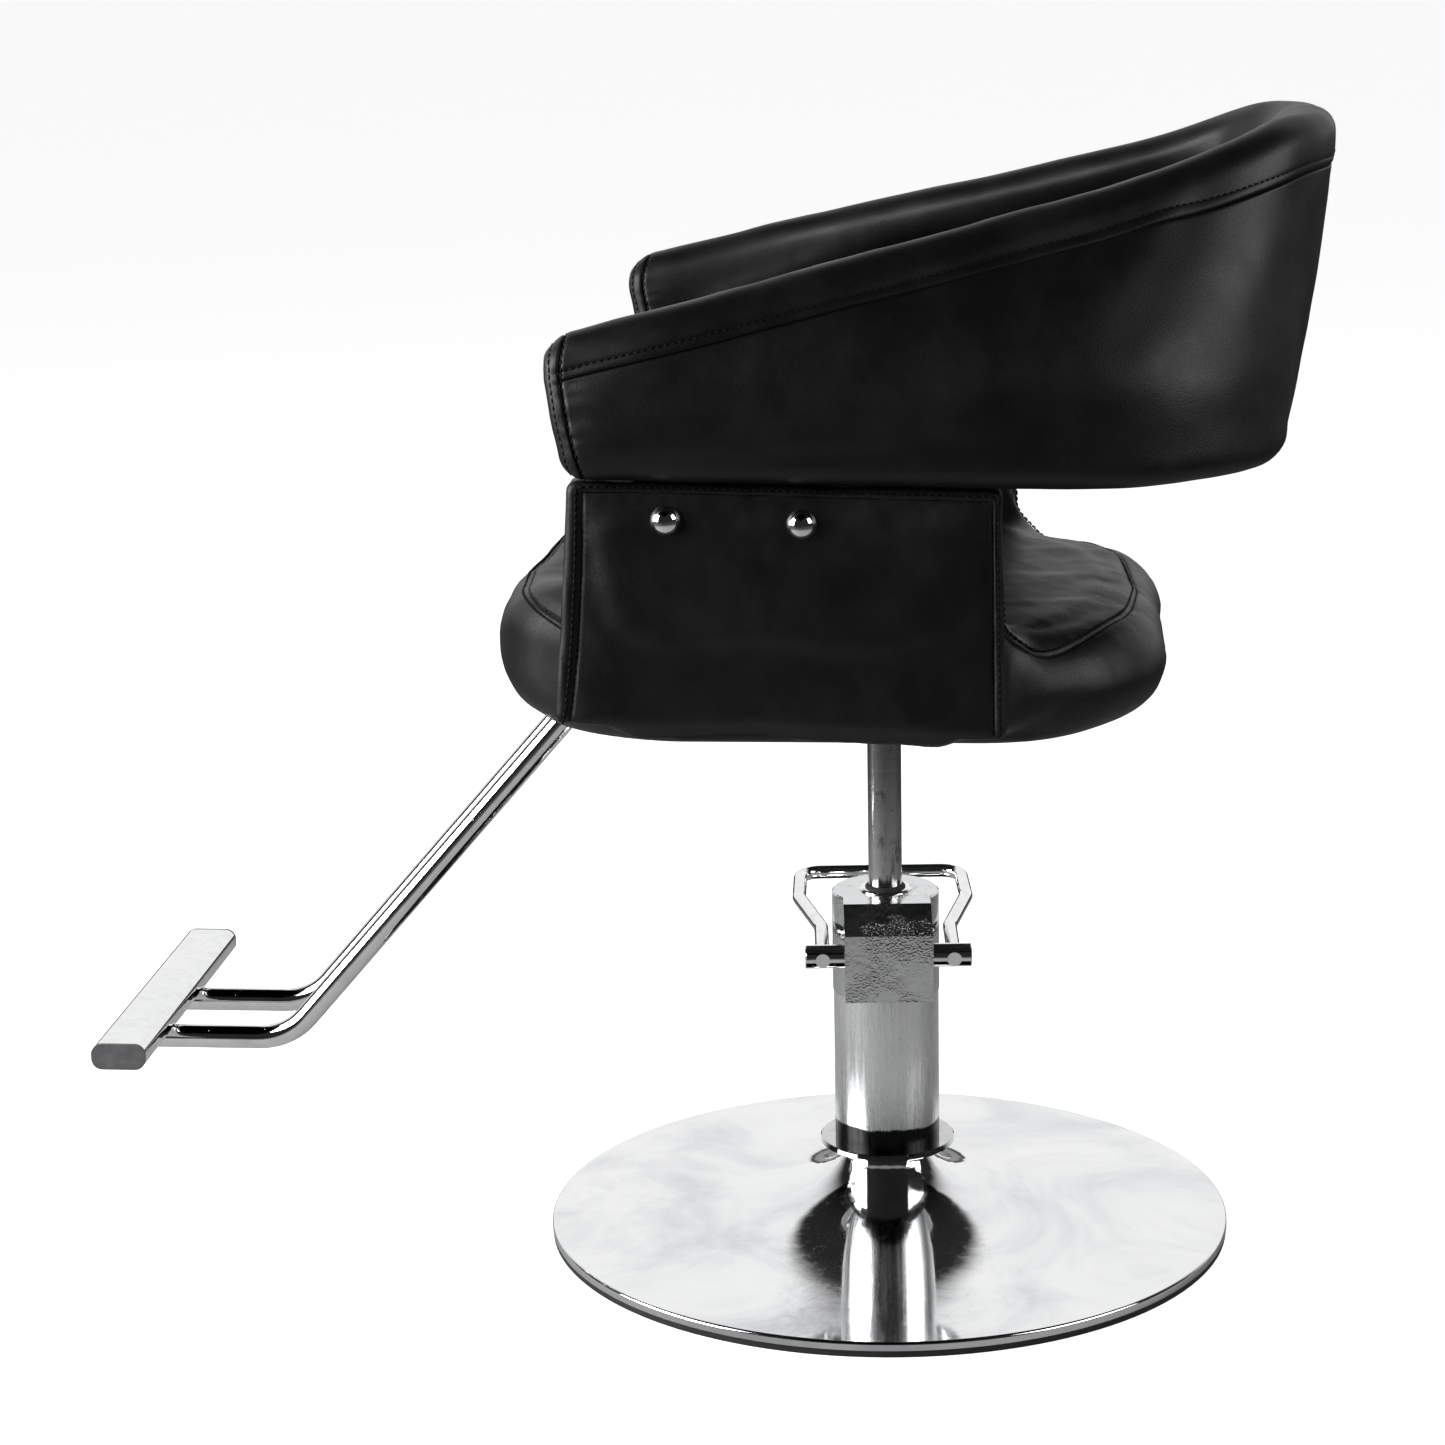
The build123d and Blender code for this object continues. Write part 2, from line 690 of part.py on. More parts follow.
with BuildPart() as taper_socket:
    with BuildSketch(Plane.XZ):
        with BuildLine():
            Polyline(
                (rod_r + fit, socket_z),
                (socket_r, socket_z),
                (socket_r, board_top),
                (taper_top_r + fit, board_top),
                (taper_top_r + fit, socket_z + taper_len),
                close=True,
            )
        make_face()
    revolve(axis=Axis.Z)
save(taper_socket.part, "taper_socket")


def seat_outline(inset):
    """Draws the seat's plan, drawn in by the inset, into the current sketch."""
    length = seat_rear - seat_front - 2 * inset
    with Locations((0, (seat_rear + seat_front) / 2)):
        RectangleRounded(2 * (seat_half_w - inset), length, seat_corner_r - inset)


def board_outline(inset):
    """Draws the seat board's plan, drawn in by the inset, into the current sketch."""
    length = seat_rear - seat_front - 2 * (board_end_inset + inset)
    with Locations((0, (seat_rear + seat_front) / 2)):
        RectangleRounded(2 * (seat_half_w - board_inset - inset), length, seat_corner_r - inset)


def foot_plate_outline(grow=0.0):
    """Draws the footrest plate's plan into the current sketch."""
    with Locations((0, sum(foot_plate_y) / 2)):
        Rectangle(2 * (foot_plate_half + grow), foot_plate_y[1] - foot_plate_y[0] + 2 * grow)


with BuildPart() as mounting_plate:
    with BuildSketch(Plane.XY.offset(plate_z)):
        RectangleRounded(plate_wid, plate_len, plate_corner_r)
        Circle(socket_r + fit, mode=Mode.SUBTRACT)
        with GridLocations(plate_bolt_x, plate_bolt_y, 2, 2):
            Circle(plate_bolt_r + fit, mode=Mode.SUBTRACT)
    extrude(amount=plate_thick)
save(mounting_plate.part, "mounting_plate")

with BuildPart() as plate_bolts:
    with BuildSketch(Plane.XY.offset(plate_z)):
        with GridLocations(plate_bolt_x, plate_bolt_y, 2, 2):
            RegularPolygon(plate_bolt_r * screw_head, 6)
    extrude(amount=-bolt_head_h)
    with BuildSketch(Plane.XY.offset(plate_z)):
        with GridLocations(plate_bolt_x, plate_bolt_y, 2, 2):
            Circle(plate_bolt_r)
    extrude(amount=plate_thick + board_t - bolt_short)
save(plate_bolts.part, "plate_bolts")

with BuildPart() as seat_board:
    with BuildSketch(Plane.XY.offset(board_z)):
        board_outline(0)
        Circle(socket_r + fit, mode=Mode.SUBTRACT)
        with GridLocations(plate_bolt_x, plate_bolt_y, 2, 2):
            Circle(plate_bolt_r + fit, mode=Mode.SUBTRACT)
        with Locations((0, sum(foot_plate_y) / 2)):
            with GridLocations(2 * foot_bolt_x, foot_bolt_y, 2, 2):
                Circle(foot_bolt_r + fit, mode=Mode.SUBTRACT)
    extrude(amount=board_t)
save(seat_board.part, "seat_board")

with BuildPart() as under_cover:
    with BuildSketch(Plane.XY.offset(board_z - cover_t)):
        board_outline(cover_gap)
        RectangleRounded(
            plate_wid + 2 * cover_gap,
            plate_len + 2 * cover_gap,
            plate_corner_r,
            mode=Mode.SUBTRACT,
        )
    extrude(amount=cover_t)
    with BuildSketch(Plane.XY.offset(board_z - cover_t)):
        foot_plate_outline(grow=cover_gap)
    extrude(amount=cover_t, mode=Mode.SUBTRACT)
save(under_cover.part, "under_cover")

# ================================================================ wings, their steel and fasteners
wing_corners = (wing_front_top, wing_front_low, wing_rear_low, wing_rear_top)
hidden = []  # pieces that the padding is cut for
wing_hidden = {}
for side, hand in ((1, "left"), (-1, "right")):
    with BuildPart() as wing_core:
        with BuildSketch(Plane.YZ.offset(side * wing_core_in)):
            with BuildLine():
                Polyline(*wing_corners, close=True)
            make_face()
            offset(amount=-core_inset)
            for spot in dome_y_z:
                with Locations(spot):
                    Circle(dome_shank_r + fit, mode=Mode.SUBTRACT)
            for along in screw_y:
                with Locations((along, bracket_screw_z)):
                    Circle(bracket_screw_r + fit, mode=Mode.SUBTRACT)
        extrude(amount=side * (wing_core_out - wing_core_in))
    save(wing_core.part, f"{hand}_wing_core")

    with BuildPart() as seat_bracket:
        with BuildSketch(Plane.XZ.offset(-bracket_y[0])):
            with BuildLine():
                Polyline(
                    (side * strap_out, board_top),
                    (side * strap_out, bracket_top),
                    (side * strap_in, bracket_top),
                    (side * strap_in, board_top + steel_t),
                    (side * (strap_out - bracket_leg), board_top + steel_t),
                    (side * (strap_out - bracket_leg), board_top),
                    close=True,
                )
            make_face()
        extrude(amount=bracket_y[0] - bracket_y[1])
        for along in screw_y:
            with BuildSketch(Plane.YZ.offset(side * strap_in)):
                with Locations((along, bracket_screw_z)):
                    Circle(bracket_screw_r + fit)
            extrude(amount=side * steel_t, mode=Mode.SUBTRACT)
            with BuildSketch(Plane.XY.offset(board_top)):
                with Locations((side * leg_screw_x, along)):
                    Circle(bracket_screw_r + fit)
            extrude(amount=steel_t, mode=Mode.SUBTRACT)
    save(seat_bracket.part, f"{hand}_seat_bracket")

    with BuildPart() as bracket_screws:
        for along in screw_y:
            with BuildSketch(Plane.YZ.offset(side * strap_in)):
                with Locations((along, bracket_screw_z)):
                    Circle(bracket_screw_r)
            extrude(amount=side * (wing_core_out - strap_in - screw_short))
            with BuildSketch(Plane.YZ.offset(side * strap_in)):
                with Locations((along, bracket_screw_z)):
                    Circle(bracket_screw_r * screw_head)
            extrude(amount=-side * bracket_screw_r)
    save(bracket_screws.part, f"{hand}_bracket_screws")

    with BuildPart() as arm_strap:
        with BuildSketch(Plane.YZ.offset(side * strap_in)):
            with Locations((sum(strap_y) / 2, sum(strap_z) / 2)):
                RectangleRounded(strap_y[1] - strap_y[0], strap_z[1] - strap_z[0], strap_corner_r)
            for spot in dome_y_z:
                with Locations(spot):
                    Circle(dome_shank_r + fit, mode=Mode.SUBTRACT)
            for along in strap_screw_y:
                with Locations((along, strap_screw_z)):
                    Circle(bracket_screw_r + fit, mode=Mode.SUBTRACT)
        extrude(amount=side * steel_t)
    save(arm_strap.part, f"{hand}_arm_strap")

    with BuildPart() as dome_bolts:
        for along, height in dome_y_z:
            with BuildSketch(Plane((0, along, height), x_dir=(side, 0, 0), z_dir=(0, 0, 1))):
                with BuildLine():
                    Line((dome_shank_end, 0), (wing_out + dome_h, 0))
                    RadiusArc((wing_out + dome_h, 0), (wing_out, dome_r), -dome_curve_r)
                    Line((wing_out, dome_r), (wing_out, dome_shank_r))
                    Line((wing_out, dome_shank_r), (dome_shank_end, dome_shank_r))
                    Line((dome_shank_end, dome_shank_r), (dome_shank_end, 0))
                make_face()
            revolve(axis=Axis((0, along, height), (1, 0, 0)))
    save(dome_bolts.part, f"{hand}_dome_bolts")

    with BuildPart() as dome_nuts:
        with BuildSketch(Plane.YZ.offset(side * strap_in)):
            for spot in dome_y_z:
                with Locations(spot):
                    RegularPolygon(dome_nut_r, 6)
                    Circle(dome_shank_r + fit, mode=Mode.SUBTRACT)
        extrude(amount=-side * dome_nut_h)
    save(dome_nuts.part, f"{hand}_dome_nuts")

    with BuildPart() as strap_screws:
        for along in strap_screw_y:
            with BuildSketch(Plane.YZ.offset(side * strap_in)):
                with Locations((along, strap_screw_z)):
                    Circle(bracket_screw_r)
            extrude(amount=side * (steel_t + shell_ply - screw_short))
            with BuildSketch(Plane.YZ.offset(side * strap_in)):
                with Locations((along, strap_screw_z)):
                    Circle(bracket_screw_r * screw_head)
            extrude(amount=-side * bracket_screw_r)
    save(strap_screws.part, f"{hand}_strap_screws")

    wing_hidden[hand] = (
        wing_core.part,
        seat_bracket.part,
        bracket_screws.part,
        arm_strap.part,
        dome_bolts.part,
        dome_nuts.part,
    )
    hidden += [seat_bracket.part, arm_strap.part, strap_screws.part]

    with BuildPart() as wing_pad:
        with BuildSketch(Plane.YZ.offset(side * seat_half_w)):
            with BuildLine():
                Polyline(*wing_corners, close=True)
            make_face()
            fillet(vertices(), wing_round)
        extrude(amount=side * (wing_out - seat_half_w))
        fillet(wing_pad.faces().sort_by(Axis.X)[-1 if side > 0 else 0].edges(), wing_edge_round)
        for piece in wing_hidden[hand]:
            add(piece, mode=Mode.SUBTRACT)
    save(wing_pad.part, f"{hand}_wing_pad")

# ================================================================ seat cushion
with BuildPart() as seat_cushion:
    with BuildSketch(Plane.XY.offset(seat_bottom)):
        seat_outline(0)
    extrude(amount=seat_top - seat_bottom)
    fillet(seat_cushion.faces().sort_by(Axis.Z)[-1].edges(), seat_top_round)
    fillet(seat_cushion.faces().sort_by(Axis.Z)[0].edges(), seat_bottom_round)
    with BuildSketch(Plane.XY.offset(seat_bottom)):
        board_outline(0)
    extrude(amount=board_top - seat_bottom, mode=Mode.SUBTRACT)
    for piece in hidden:
        add(piece, mode=Mode.SUBTRACT)
    with BuildSketch(Plane.XY.offset(board_top)):
        for side in (1, -1):
            for along in screw_y:
                with Locations((side * leg_screw_x, along)):
                    Circle(leg_head_r)
    extrude(amount=steel_t + leg_head_h, mode=Mode.SUBTRACT)
save(seat_cushion.part, "seat_cushion")

# ================================================================ back band
def band_plan(inset, level):
    """Gives the band's closed plan at one of its levels, drawn in by the inset."""
    half = band_half_w - inset
    rear = band_rear[level] - inset
    rear_half = band_rear_half[level] - inset
    front = band_front[1] - cut_margin
    with BuildSketch() as plan:
        with BuildLine():
            FilletPolyline(
                (half, front),
                (rear_half, rear),
                (-rear_half, rear),
                (-half, front),
                radius=band_corner[level] - inset,
            )
            Line((-half, front), (half, front))
        make_face()
    return plan.sketch


def band_solid(inset):
    """Lofts the whole block that the band's surface at the inset bounds."""
    with BuildPart() as block:
        for level, height in enumerate(band_levels):
            with BuildSketch(Plane.XY.offset(height)):
                add(band_plan(inset, level))
        loft(ruled=True)
    return block.part


def band_side(margin):
    """Gives the band's side outline, drawn in by the margin."""
    with BuildSketch() as outline:
        with BuildLine():
            Polyline(
                (band_front[0] + margin, band_front_z[0] + margin),
                (band_front[1] + margin, band_front_z[1]),
                (band_front[2] + margin, band_front_z[2] - margin / 2),
                (band_top_y, band_top_z - margin),
                (band_rear[-1] + cut_margin, band_top_z - margin),
                (band_rear[-1] + cut_margin, band_front_z[0] + margin),
                close=True,
            )
        make_face()
    return outline.sketch


with BuildPart() as back_shell:
    with BuildSketch(Plane.YZ):
        add(band_side(shell_margin))
    extrude(amount=band_half_w + cut_margin, both=True)
    add(band_solid(band_skin), mode=Mode.INTERSECT)
    add(band_solid(shell_in), mode=Mode.SUBTRACT)
    for side in (1, -1):
        with BuildSketch(Plane.YZ.offset(side * (strap_out - eps))):
            for along in strap_screw_y:
                with Locations((along, strap_screw_z)):
                    Circle(bracket_screw_r + fit)
        extrude(amount=side * (shell_ply + eps), mode=Mode.SUBTRACT)
save(back_shell.part, "back_shell")

with BuildPart() as back_band_pad:
    with BuildSketch(Plane.YZ):
        add(band_side(0))
    extrude(amount=band_half_w + cut_margin, both=True)
    add(band_solid(0), mode=Mode.INTERSECT)
    add(band_solid(band_thick), mode=Mode.SUBTRACT)
    add(back_shell.part, mode=Mode.SUBTRACT)
    for piece in hidden:
        add(piece, mode=Mode.SUBTRACT)
save(back_band_pad.part, "back_band_pad")

# ================================================================ footrest
with BuildPart() as footrest_bar:
    with BuildSketch(Plane.YZ.offset(-bar_half + cap_t)):
        with Locations((bar_y, bar_z)):
            RectangleRounded(bar_w, bar_h, bar_corner_r)
            RectangleRounded(
                bar_w - 2 * bar_wall,
                bar_h - 2 * bar_wall,
                bar_corner_r - bar_wall,
                mode=Mode.SUBTRACT,
            )
    extrude(amount=2 * (bar_half - cap_t))
save(footrest_bar.part, "footrest_bar")

with BuildPart() as bar_envelope:
    with BuildSketch(Plane.YZ.offset(-bar_half)):
        with Locations((bar_y, bar_z)):
            RectangleRounded(bar_w, bar_h, bar_corner_r)
    extrude(amount=2 * bar_half)

for side, hand in ((1, "left"), (-1, "right")):
    with BuildPart() as bar_cap:
        with BuildSketch(Plane.YZ.offset(side * (bar_half - cap_t))):
            with Locations((bar_y, bar_z)):
                RectangleRounded(bar_w, bar_h, bar_corner_r)
        extrude(amount=side * cap_t)
        with BuildSketch(Plane.YZ.offset(side * (bar_half - cap_t))):
            with Locations((bar_y, bar_z)):
                RectangleRounded(
                    bar_w - 2 * bar_wall - 2 * fit,
                    bar_h - 2 * bar_wall - 2 * fit,
                    bar_corner_r - bar_wall - fit,
                )
        extrude(amount=-side * cap_plug)
    save(bar_cap.part, f"{hand}_bar_cap")

    with BuildPart() as footrest_tube:
        with BuildLine(Plane.YZ.offset(side * tube_x)) as tube_path:
            FilletPolyline(
                (bar_y, tube_z),
                (tube_corner_y, tube_z),
                (tube_top_y, plate_z + tube_over),
                radius=tube_bend_r,
            )
        with BuildSketch(Plane(origin=tube_path.line @ 0, z_dir=tube_path.line % 0)):
            Circle(tube_r)
            Circle(tube_r - tube_wall, mode=Mode.SUBTRACT)
        sweep()
        split(bisect_by=Plane.XY.offset(plate_z), keep=Keep.BOTTOM)
        add(bar_envelope.part, mode=Mode.SUBTRACT)
    save(footrest_tube.part, f"{hand}_footrest_tube")

with BuildPart() as footrest_plate:
    with BuildSketch(Plane.XY.offset(plate_z)):
        foot_plate_outline()
        with Locations((0, sum(foot_plate_y) / 2)):
            with GridLocations(2 * foot_bolt_x, foot_bolt_y, 2, 2):
                Circle(foot_bolt_r + fit, mode=Mode.SUBTRACT)
    extrude(amount=plate_thick)
save(footrest_plate.part, "footrest_plate")

with BuildPart() as footrest_bolts:
    with BuildSketch(Plane.XY.offset(plate_z)):
        with Locations((0, sum(foot_plate_y) / 2)):
            with GridLocations(2 * foot_bolt_x, foot_bolt_y, 2, 2):
                RegularPolygon(foot_bolt_r * screw_head, 6)
    extrude(amount=-bolt_head_h)
    with BuildSketch(Plane.XY.offset(plate_z)):
        with Locations((0, sum(foot_plate_y) / 2)):
            with GridLocations(2 * foot_bolt_x, foot_bolt_y, 2, 2):
                Circle(foot_bolt_r)
    extrude(amount=plate_thick + board_t - bolt_short)
save(footrest_bolts.part, "footrest_bolts")
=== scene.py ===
import json
import logging
import math
from dataclasses import dataclass
from enum import Enum, IntEnum
from typing import Callable, Sequence

import bpy
import bmesh
import numpy as np
from mathutils import Matrix, Vector, kdtree


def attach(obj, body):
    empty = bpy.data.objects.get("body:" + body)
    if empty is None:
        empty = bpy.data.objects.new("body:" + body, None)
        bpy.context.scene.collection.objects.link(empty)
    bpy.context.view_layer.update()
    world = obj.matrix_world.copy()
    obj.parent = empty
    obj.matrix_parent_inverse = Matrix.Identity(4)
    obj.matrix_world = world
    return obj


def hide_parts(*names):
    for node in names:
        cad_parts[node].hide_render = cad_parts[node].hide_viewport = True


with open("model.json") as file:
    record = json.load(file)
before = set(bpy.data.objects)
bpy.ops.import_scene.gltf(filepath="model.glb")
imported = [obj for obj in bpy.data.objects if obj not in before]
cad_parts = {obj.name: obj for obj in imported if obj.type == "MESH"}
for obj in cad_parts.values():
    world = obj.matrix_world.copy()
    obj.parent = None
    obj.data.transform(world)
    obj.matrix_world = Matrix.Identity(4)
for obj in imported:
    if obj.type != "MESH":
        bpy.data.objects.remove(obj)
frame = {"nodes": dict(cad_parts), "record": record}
log = logging.getLogger("styling_chair")

MM = 0.001
Array = np.ndarray
Color = tuple[float, float, float]
Row = tuple[Array, Array]
OFF_SEAM = 9.0


# ---------------------------------------------------------------- finishes
class Cells(Enum):
    """How the cells of a pebbled pattern meet."""

    SHARP = "F1"
    SOFT = "SMOOTH_F1"


class Nodes:
    """A node tree, with short calls for adding nodes and feeding their inputs."""

    def __init__(self, tree: bpy.types.NodeTree) -> None:
        """Takes a tree to add to."""
        self.tree = tree

    def feed(self, socket: bpy.types.NodeSocket, value: object) -> None:
        """Links a socket into an input, or sets the input's own value.

        Args:
            socket: The input.
            value: Another node's output, or a number, colour or name.
        """
        if isinstance(value, bpy.types.NodeSocket):
            self.tree.links.new(value, socket)
        elif isinstance(value, tuple):
            socket.default_value = (*value, 1.0)[: len(socket.default_value)]
        else:
            socket.default_value = value

    def node(self, kind: str, inputs: dict[str, object] | None = None, **settings: object) -> bpy.types.Node:
        """Adds a node.

        Args:
            kind: The node's type name.
            inputs: What each input is fed with.
            settings: Attributes to set on the node first.

        Returns:
            The new node.
        """
        made = self.tree.nodes.new(kind)
        for key, value in settings.items():
            setattr(made, key, value)
        for key, value in (inputs or {}).items():
            self.feed(made.inputs[key], value)
        return made

    def math(self, operation: str, a: object, b: object = 0.0) -> bpy.types.NodeSocket:
        """Gives the result of a sum or another operation on two values.

        Args:
            operation: The operation's name.
            a: The first value or socket.
            b: The second one.

        Returns:
            The result.
        """
        made = self.node("ShaderNodeMath", operation=operation)
        self.feed(made.inputs[0], a)
        self.feed(made.inputs[1], b)
        return made.outputs["Value"]

    def span(self, value: object, low: float, high: float, to_low: float = 0.0,
             to_high: float = 1.0) -> bpy.types.NodeSocket:
        """Carries a value from one range to another, smoothly and without leaving it.

        Args:
            value: The value.
            low: Start of its range.
            high: End of its range.
            to_low: What low becomes.
            to_high: What high becomes.

        Returns:
            The carried value.
        """
        ends = {"From Min": low, "From Max": high, "To Min": to_low, "To Max": to_high, "Value": value}
        return self.node("ShaderNodeMapRange", ends, interpolation_type="SMOOTHSTEP").outputs["Result"]


class Shader(Nodes):
    """One material's node tree, with the patterns this chair's finishes use."""

    def __init__(self, name: str) -> None:
        """Starts a material.

        Args:
            name: Its name.
        """
        self.material = bpy.data.materials.new(name)
        self.material.use_nodes = True
        super().__init__(self.material.node_tree)
        self.surface = self.tree.nodes["Principled BSDF"]

    def set(self, **inputs: object) -> None:
        """Sets the surface's inputs by name, with underscores for spaces.

        Args:
            inputs: Input names and their values or sockets.
        """
        for key, value in inputs.items():
            self.feed(self.surface.inputs[key.replace("_", " ")], value)

    def coords(self, scale: tuple[float, float, float] = (1, 1, 1)) -> bpy.types.NodeSocket:
        """Gives the piece's own coordinates, each axis stretched by its scale."""
        place = self.node("ShaderNodeTexCoord").outputs["Object"]
        return self.node("ShaderNodeMapping", {"Vector": place, "Scale": scale}).outputs["Vector"]

    def noise(self, vector: bpy.types.NodeSocket, scale: float, detail: float = 3.0,
              roughness: float = 0.5, distortion: float = 0.0) -> bpy.types.NodeSocket:
        """Gives smooth noise from 0 to 1.

        Args:
            vector: Where to take it.
            scale: How fine it is.
            detail: How many finer layers it has.
            roughness: How strong those are.
            distortion: How far it is bent.

        Returns:
            The noise.
        """
        inputs = {"Vector": vector, "Scale": scale, "Detail": detail, "Roughness": roughness,
                  "Distortion": distortion}
        return self.node("ShaderNodeTexNoise", inputs).outputs["Fac"]

    def cells(self, vector: bpy.types.NodeSocket, scale: float, kind: Cells = Cells.SHARP,
              randomness: float = 1.0) -> bpy.types.NodeSocket:
        """Gives the distance inside a cell pattern.

        Args:
            vector: Where to take it.
            scale: How fine it is.
            kind: How the cells meet.
            randomness: How uneven they are.

        Returns:
            The distance.
        """
        inputs = {"Vector": vector, "Scale": scale, "Randomness": randomness}
        return self.node("ShaderNodeTexVoronoi", inputs, feature=kind.value).outputs["Distance"]

    def mix(self, share: object, a: object, b: object) -> bpy.types.NodeSocket:
        """Mixes two colours."""
        return self.node("ShaderNodeMix", {"Factor": share, "A": a, "B": b}, data_type="RGBA").outputs["Result"]

    def bump(self, height: object, strength: float, distance: float,
             under: bpy.types.NodeSocket | None = None) -> bpy.types.NodeSocket:
        """Turns a height pattern into a normal.

        Args:
            height: The height pattern.
            strength: Its weight.
            distance: Its full depth in metres.
            under: A bump that this one lies on.

        Returns:
            The normal.
        """
        inputs = {"Strength": strength, "Distance": distance, "Height": height}
        if under is not None:
            inputs["Normal"] = under
        return self.node("ShaderNodeBump", inputs).outputs["Normal"]

    def attribute(self, name: str) -> bpy.types.NodeSocket:
        """Gives a piece's own attribute."""
        return self.node("ShaderNodeAttribute", attribute_name=name).outputs["Fac"]


@dataclass(frozen=True)
class Chrome:
    """Bright chrome plate: a mirror with a faint hazy cloud in its gloss, wipe marks and pits; the same clouds grey
    its colour, a painted reflection of grey swirls.
    """

    name: str = "chrome_plate"
    tint: Color = (0.90, 0.905, 0.91)
    # grey of the painted swirl reflections
    painted_swirl_tint: Color = (0.56, 0.57, 0.60)
    roughness: tuple[float, float] = (0.035, 0.10)
    cloud_scale: float = 6.0
    pit_depth: float = 0.00004
    painted_swirl_share: float = 0.8

    def build(self) -> bpy.types.Material:
        """Makes the material.

        Returns:
            The finished material.
        """
        s = Shader(self.name)
        place = s.coords()
        cloud = s.noise(place, self.cloud_scale, 5.0, 0.6, 1.2)
        wipe = s.noise(s.coords(scale=(1, 1, 0.2)), 160.0, 2.0)
        # clouds that grey the plate's colour: a painted reflection of grey swirls, while their roughness is a real
        # haze
        film = s.math("MULTIPLY", s.span(cloud, 0.35, 0.8), self.painted_swirl_share)
        s.set(
            Base_Color=s.mix(film, self.tint, self.painted_swirl_tint),
            Metallic=1.0,
            Roughness=s.math("ADD", s.span(cloud, 0.35, 0.8, *self.roughness), s.span(wipe, 0.5, 0.8, 0.0, 0.05)),
        )
        pits = s.span(s.cells(place, 420.0), 0.0, 0.16, -1.0, 0.0)
        few = s.span(s.noise(place, 60.0, 2.0), 0.56, 0.62)
        wave = s.bump(cloud, 0.15, 0.0006)
        s.set(Normal=s.bump(s.math("MULTIPLY", pits, few), 0.6, self.pit_depth, wave))
        return s.material


@dataclass(frozen=True)
class BrushedPlate:
    """Dull plated tube: fine streaks along its length, a few darker patches, and a dark band at its foot that is a
    painted reflection of the flange below.
    """

    name: str = "brushed_plate"
    tint: Color = (0.86, 0.87, 0.88)
    dark: Color = (0.55, 0.56, 0.57)
    roughness: tuple[float, float] = (0.20, 0.34)
    # heights of the dark band that is a painted reflection of the flange
    foot: tuple[float, float] = (0.0965, 0.0985)
    flange_reflection_tint: Color = (0.02, 0.02, 0.02)

    def build(self) -> bpy.types.Material:
        """Makes the material.

        Returns:
            The finished material.
        """
        s = Shader(self.name)
        streak = s.noise(s.coords(scale=(1, 1, 0.05)), 330.0, 3.0, 0.6)
        patch = s.noise(s.coords(scale=(1, 1, 0.5)), 24.0, 4.0, 0.6, 0.6)
        worn = s.span(patch, 0.45, 0.75)
        plate = s.mix(s.math("MULTIPLY", worn, s.span(streak, 0.35, 0.7)), self.tint, self.dark)
        split = s.node("ShaderNodeSeparateXYZ", {"Vector": s.coords()})
        # below these heights the colour is a painted reflection of the dark flange under the tube
        height = s.math("ADD", split.outputs["Z"], s.span(patch, 0.3, 0.7, -0.0015, 0.0015))
        s.set(
            Base_Color=s.mix(s.span(height, *self.foot), self.flange_reflection_tint, plate),
            Metallic=1.0,
            Roughness=s.math("ADD", s.span(streak, 0.3, 0.7, *self.roughness), s.math("MULTIPLY", worn, 0.06)),
            Normal=s.bump(streak, 0.35, 0.00006),
        )
        return s.material


@dataclass(frozen=True)
class CastPlate:
    """Plated casting: bright, with the sand's pimples and pits left under the plate."""

    name: str = "cast_plate"
    tint: Color = (0.70, 0.71, 0.72)
    dark: Color = (0.26, 0.26, 0.27)

    def build(self) -> bpy.types.Material:
        """Makes the material.

        Returns:
            The finished material.
        """
        s = Shader(self.name)
        place = s.coords()
        lump = s.noise(place, 95.0, 4.0, 0.65, 0.4)
        grain = s.cells(place, 520.0)
        rough = s.span(s.noise(place, 30.0, 3.0), 0.40, 0.66)
        speck = s.math("MULTIPLY", s.span(grain, 0.0, 0.28, 1.0, 0.0), rough)
        s.set(
            Base_Color=s.mix(speck, self.tint, self.dark),
            Metallic=1.0,
            Roughness=s.math("ADD", s.span(lump, 0.3, 0.7, 0.08, 0.20), s.math("MULTIPLY", speck, 0.3)),
        )
        low = s.bump(lump, 0.6, 0.0006)
        s.set(Normal=s.bump(s.math("MULTIPLY", grain, rough), 0.9, 0.00040, low))
        return s.material


@dataclass(frozen=True)
class GroundSteel:
    """Ground steel rod: grey, with turning rings, an oil film and stains."""

    name: str = "ground_steel"
    tint: Color = (0.56, 0.56, 0.565)
    stain: Color = (0.20, 0.195, 0.19)

    def build(self) -> bpy.types.Material:
        """Makes the material.

        Returns:
            The finished material.
        """
        s = Shader(self.name)
        blot = s.noise(s.coords(scale=(1, 1, 0.35)), 120.0, 5.0, 0.7, 0.8)
        ring = s.noise(s.coords(scale=(0.02, 0.02, 1)), 420.0, 3.0, 0.7)
        stained = s.span(blot, 0.48, 0.70)
        s.set(
            Base_Color=s.mix(stained, self.tint, self.stain),
            Metallic=1.0,
            Roughness=s.math("ADD", s.span(ring, 0.3, 0.7, 0.10, 0.17), s.math("MULTIPLY", stained, 0.12)),
            Normal=s.bump(ring, 0.3, 0.00003),
        )
        return s.material


@dataclass(frozen=True)
class PlainSurface:
    """A worked metal, paint, rubber or plastic with fine unevenness in colour and gloss."""

    name: str
    tint: Color
    other: Color
    metallic: float
    roughness: tuple[float, float]
    scale: float
    depth: float

    def build(self) -> bpy.types.Material:
        """Makes the material.

        Returns:
            The finished material.
        """
        s = Shader(self.name)
        place = s.coords()
        broad = s.noise(place, self.scale, 4.0, 0.6)
        fine = s.noise(place, self.scale * 14, 2.0)
        s.set(
            Base_Color=s.mix(s.span(broad, 0.35, 0.7), self.tint, self.other),
            Metallic=self.metallic,
            Roughness=s.span(broad, 0.3, 0.7, *self.roughness),
            Normal=s.bump(fine, 0.5, self.depth),
        )
        return s.material


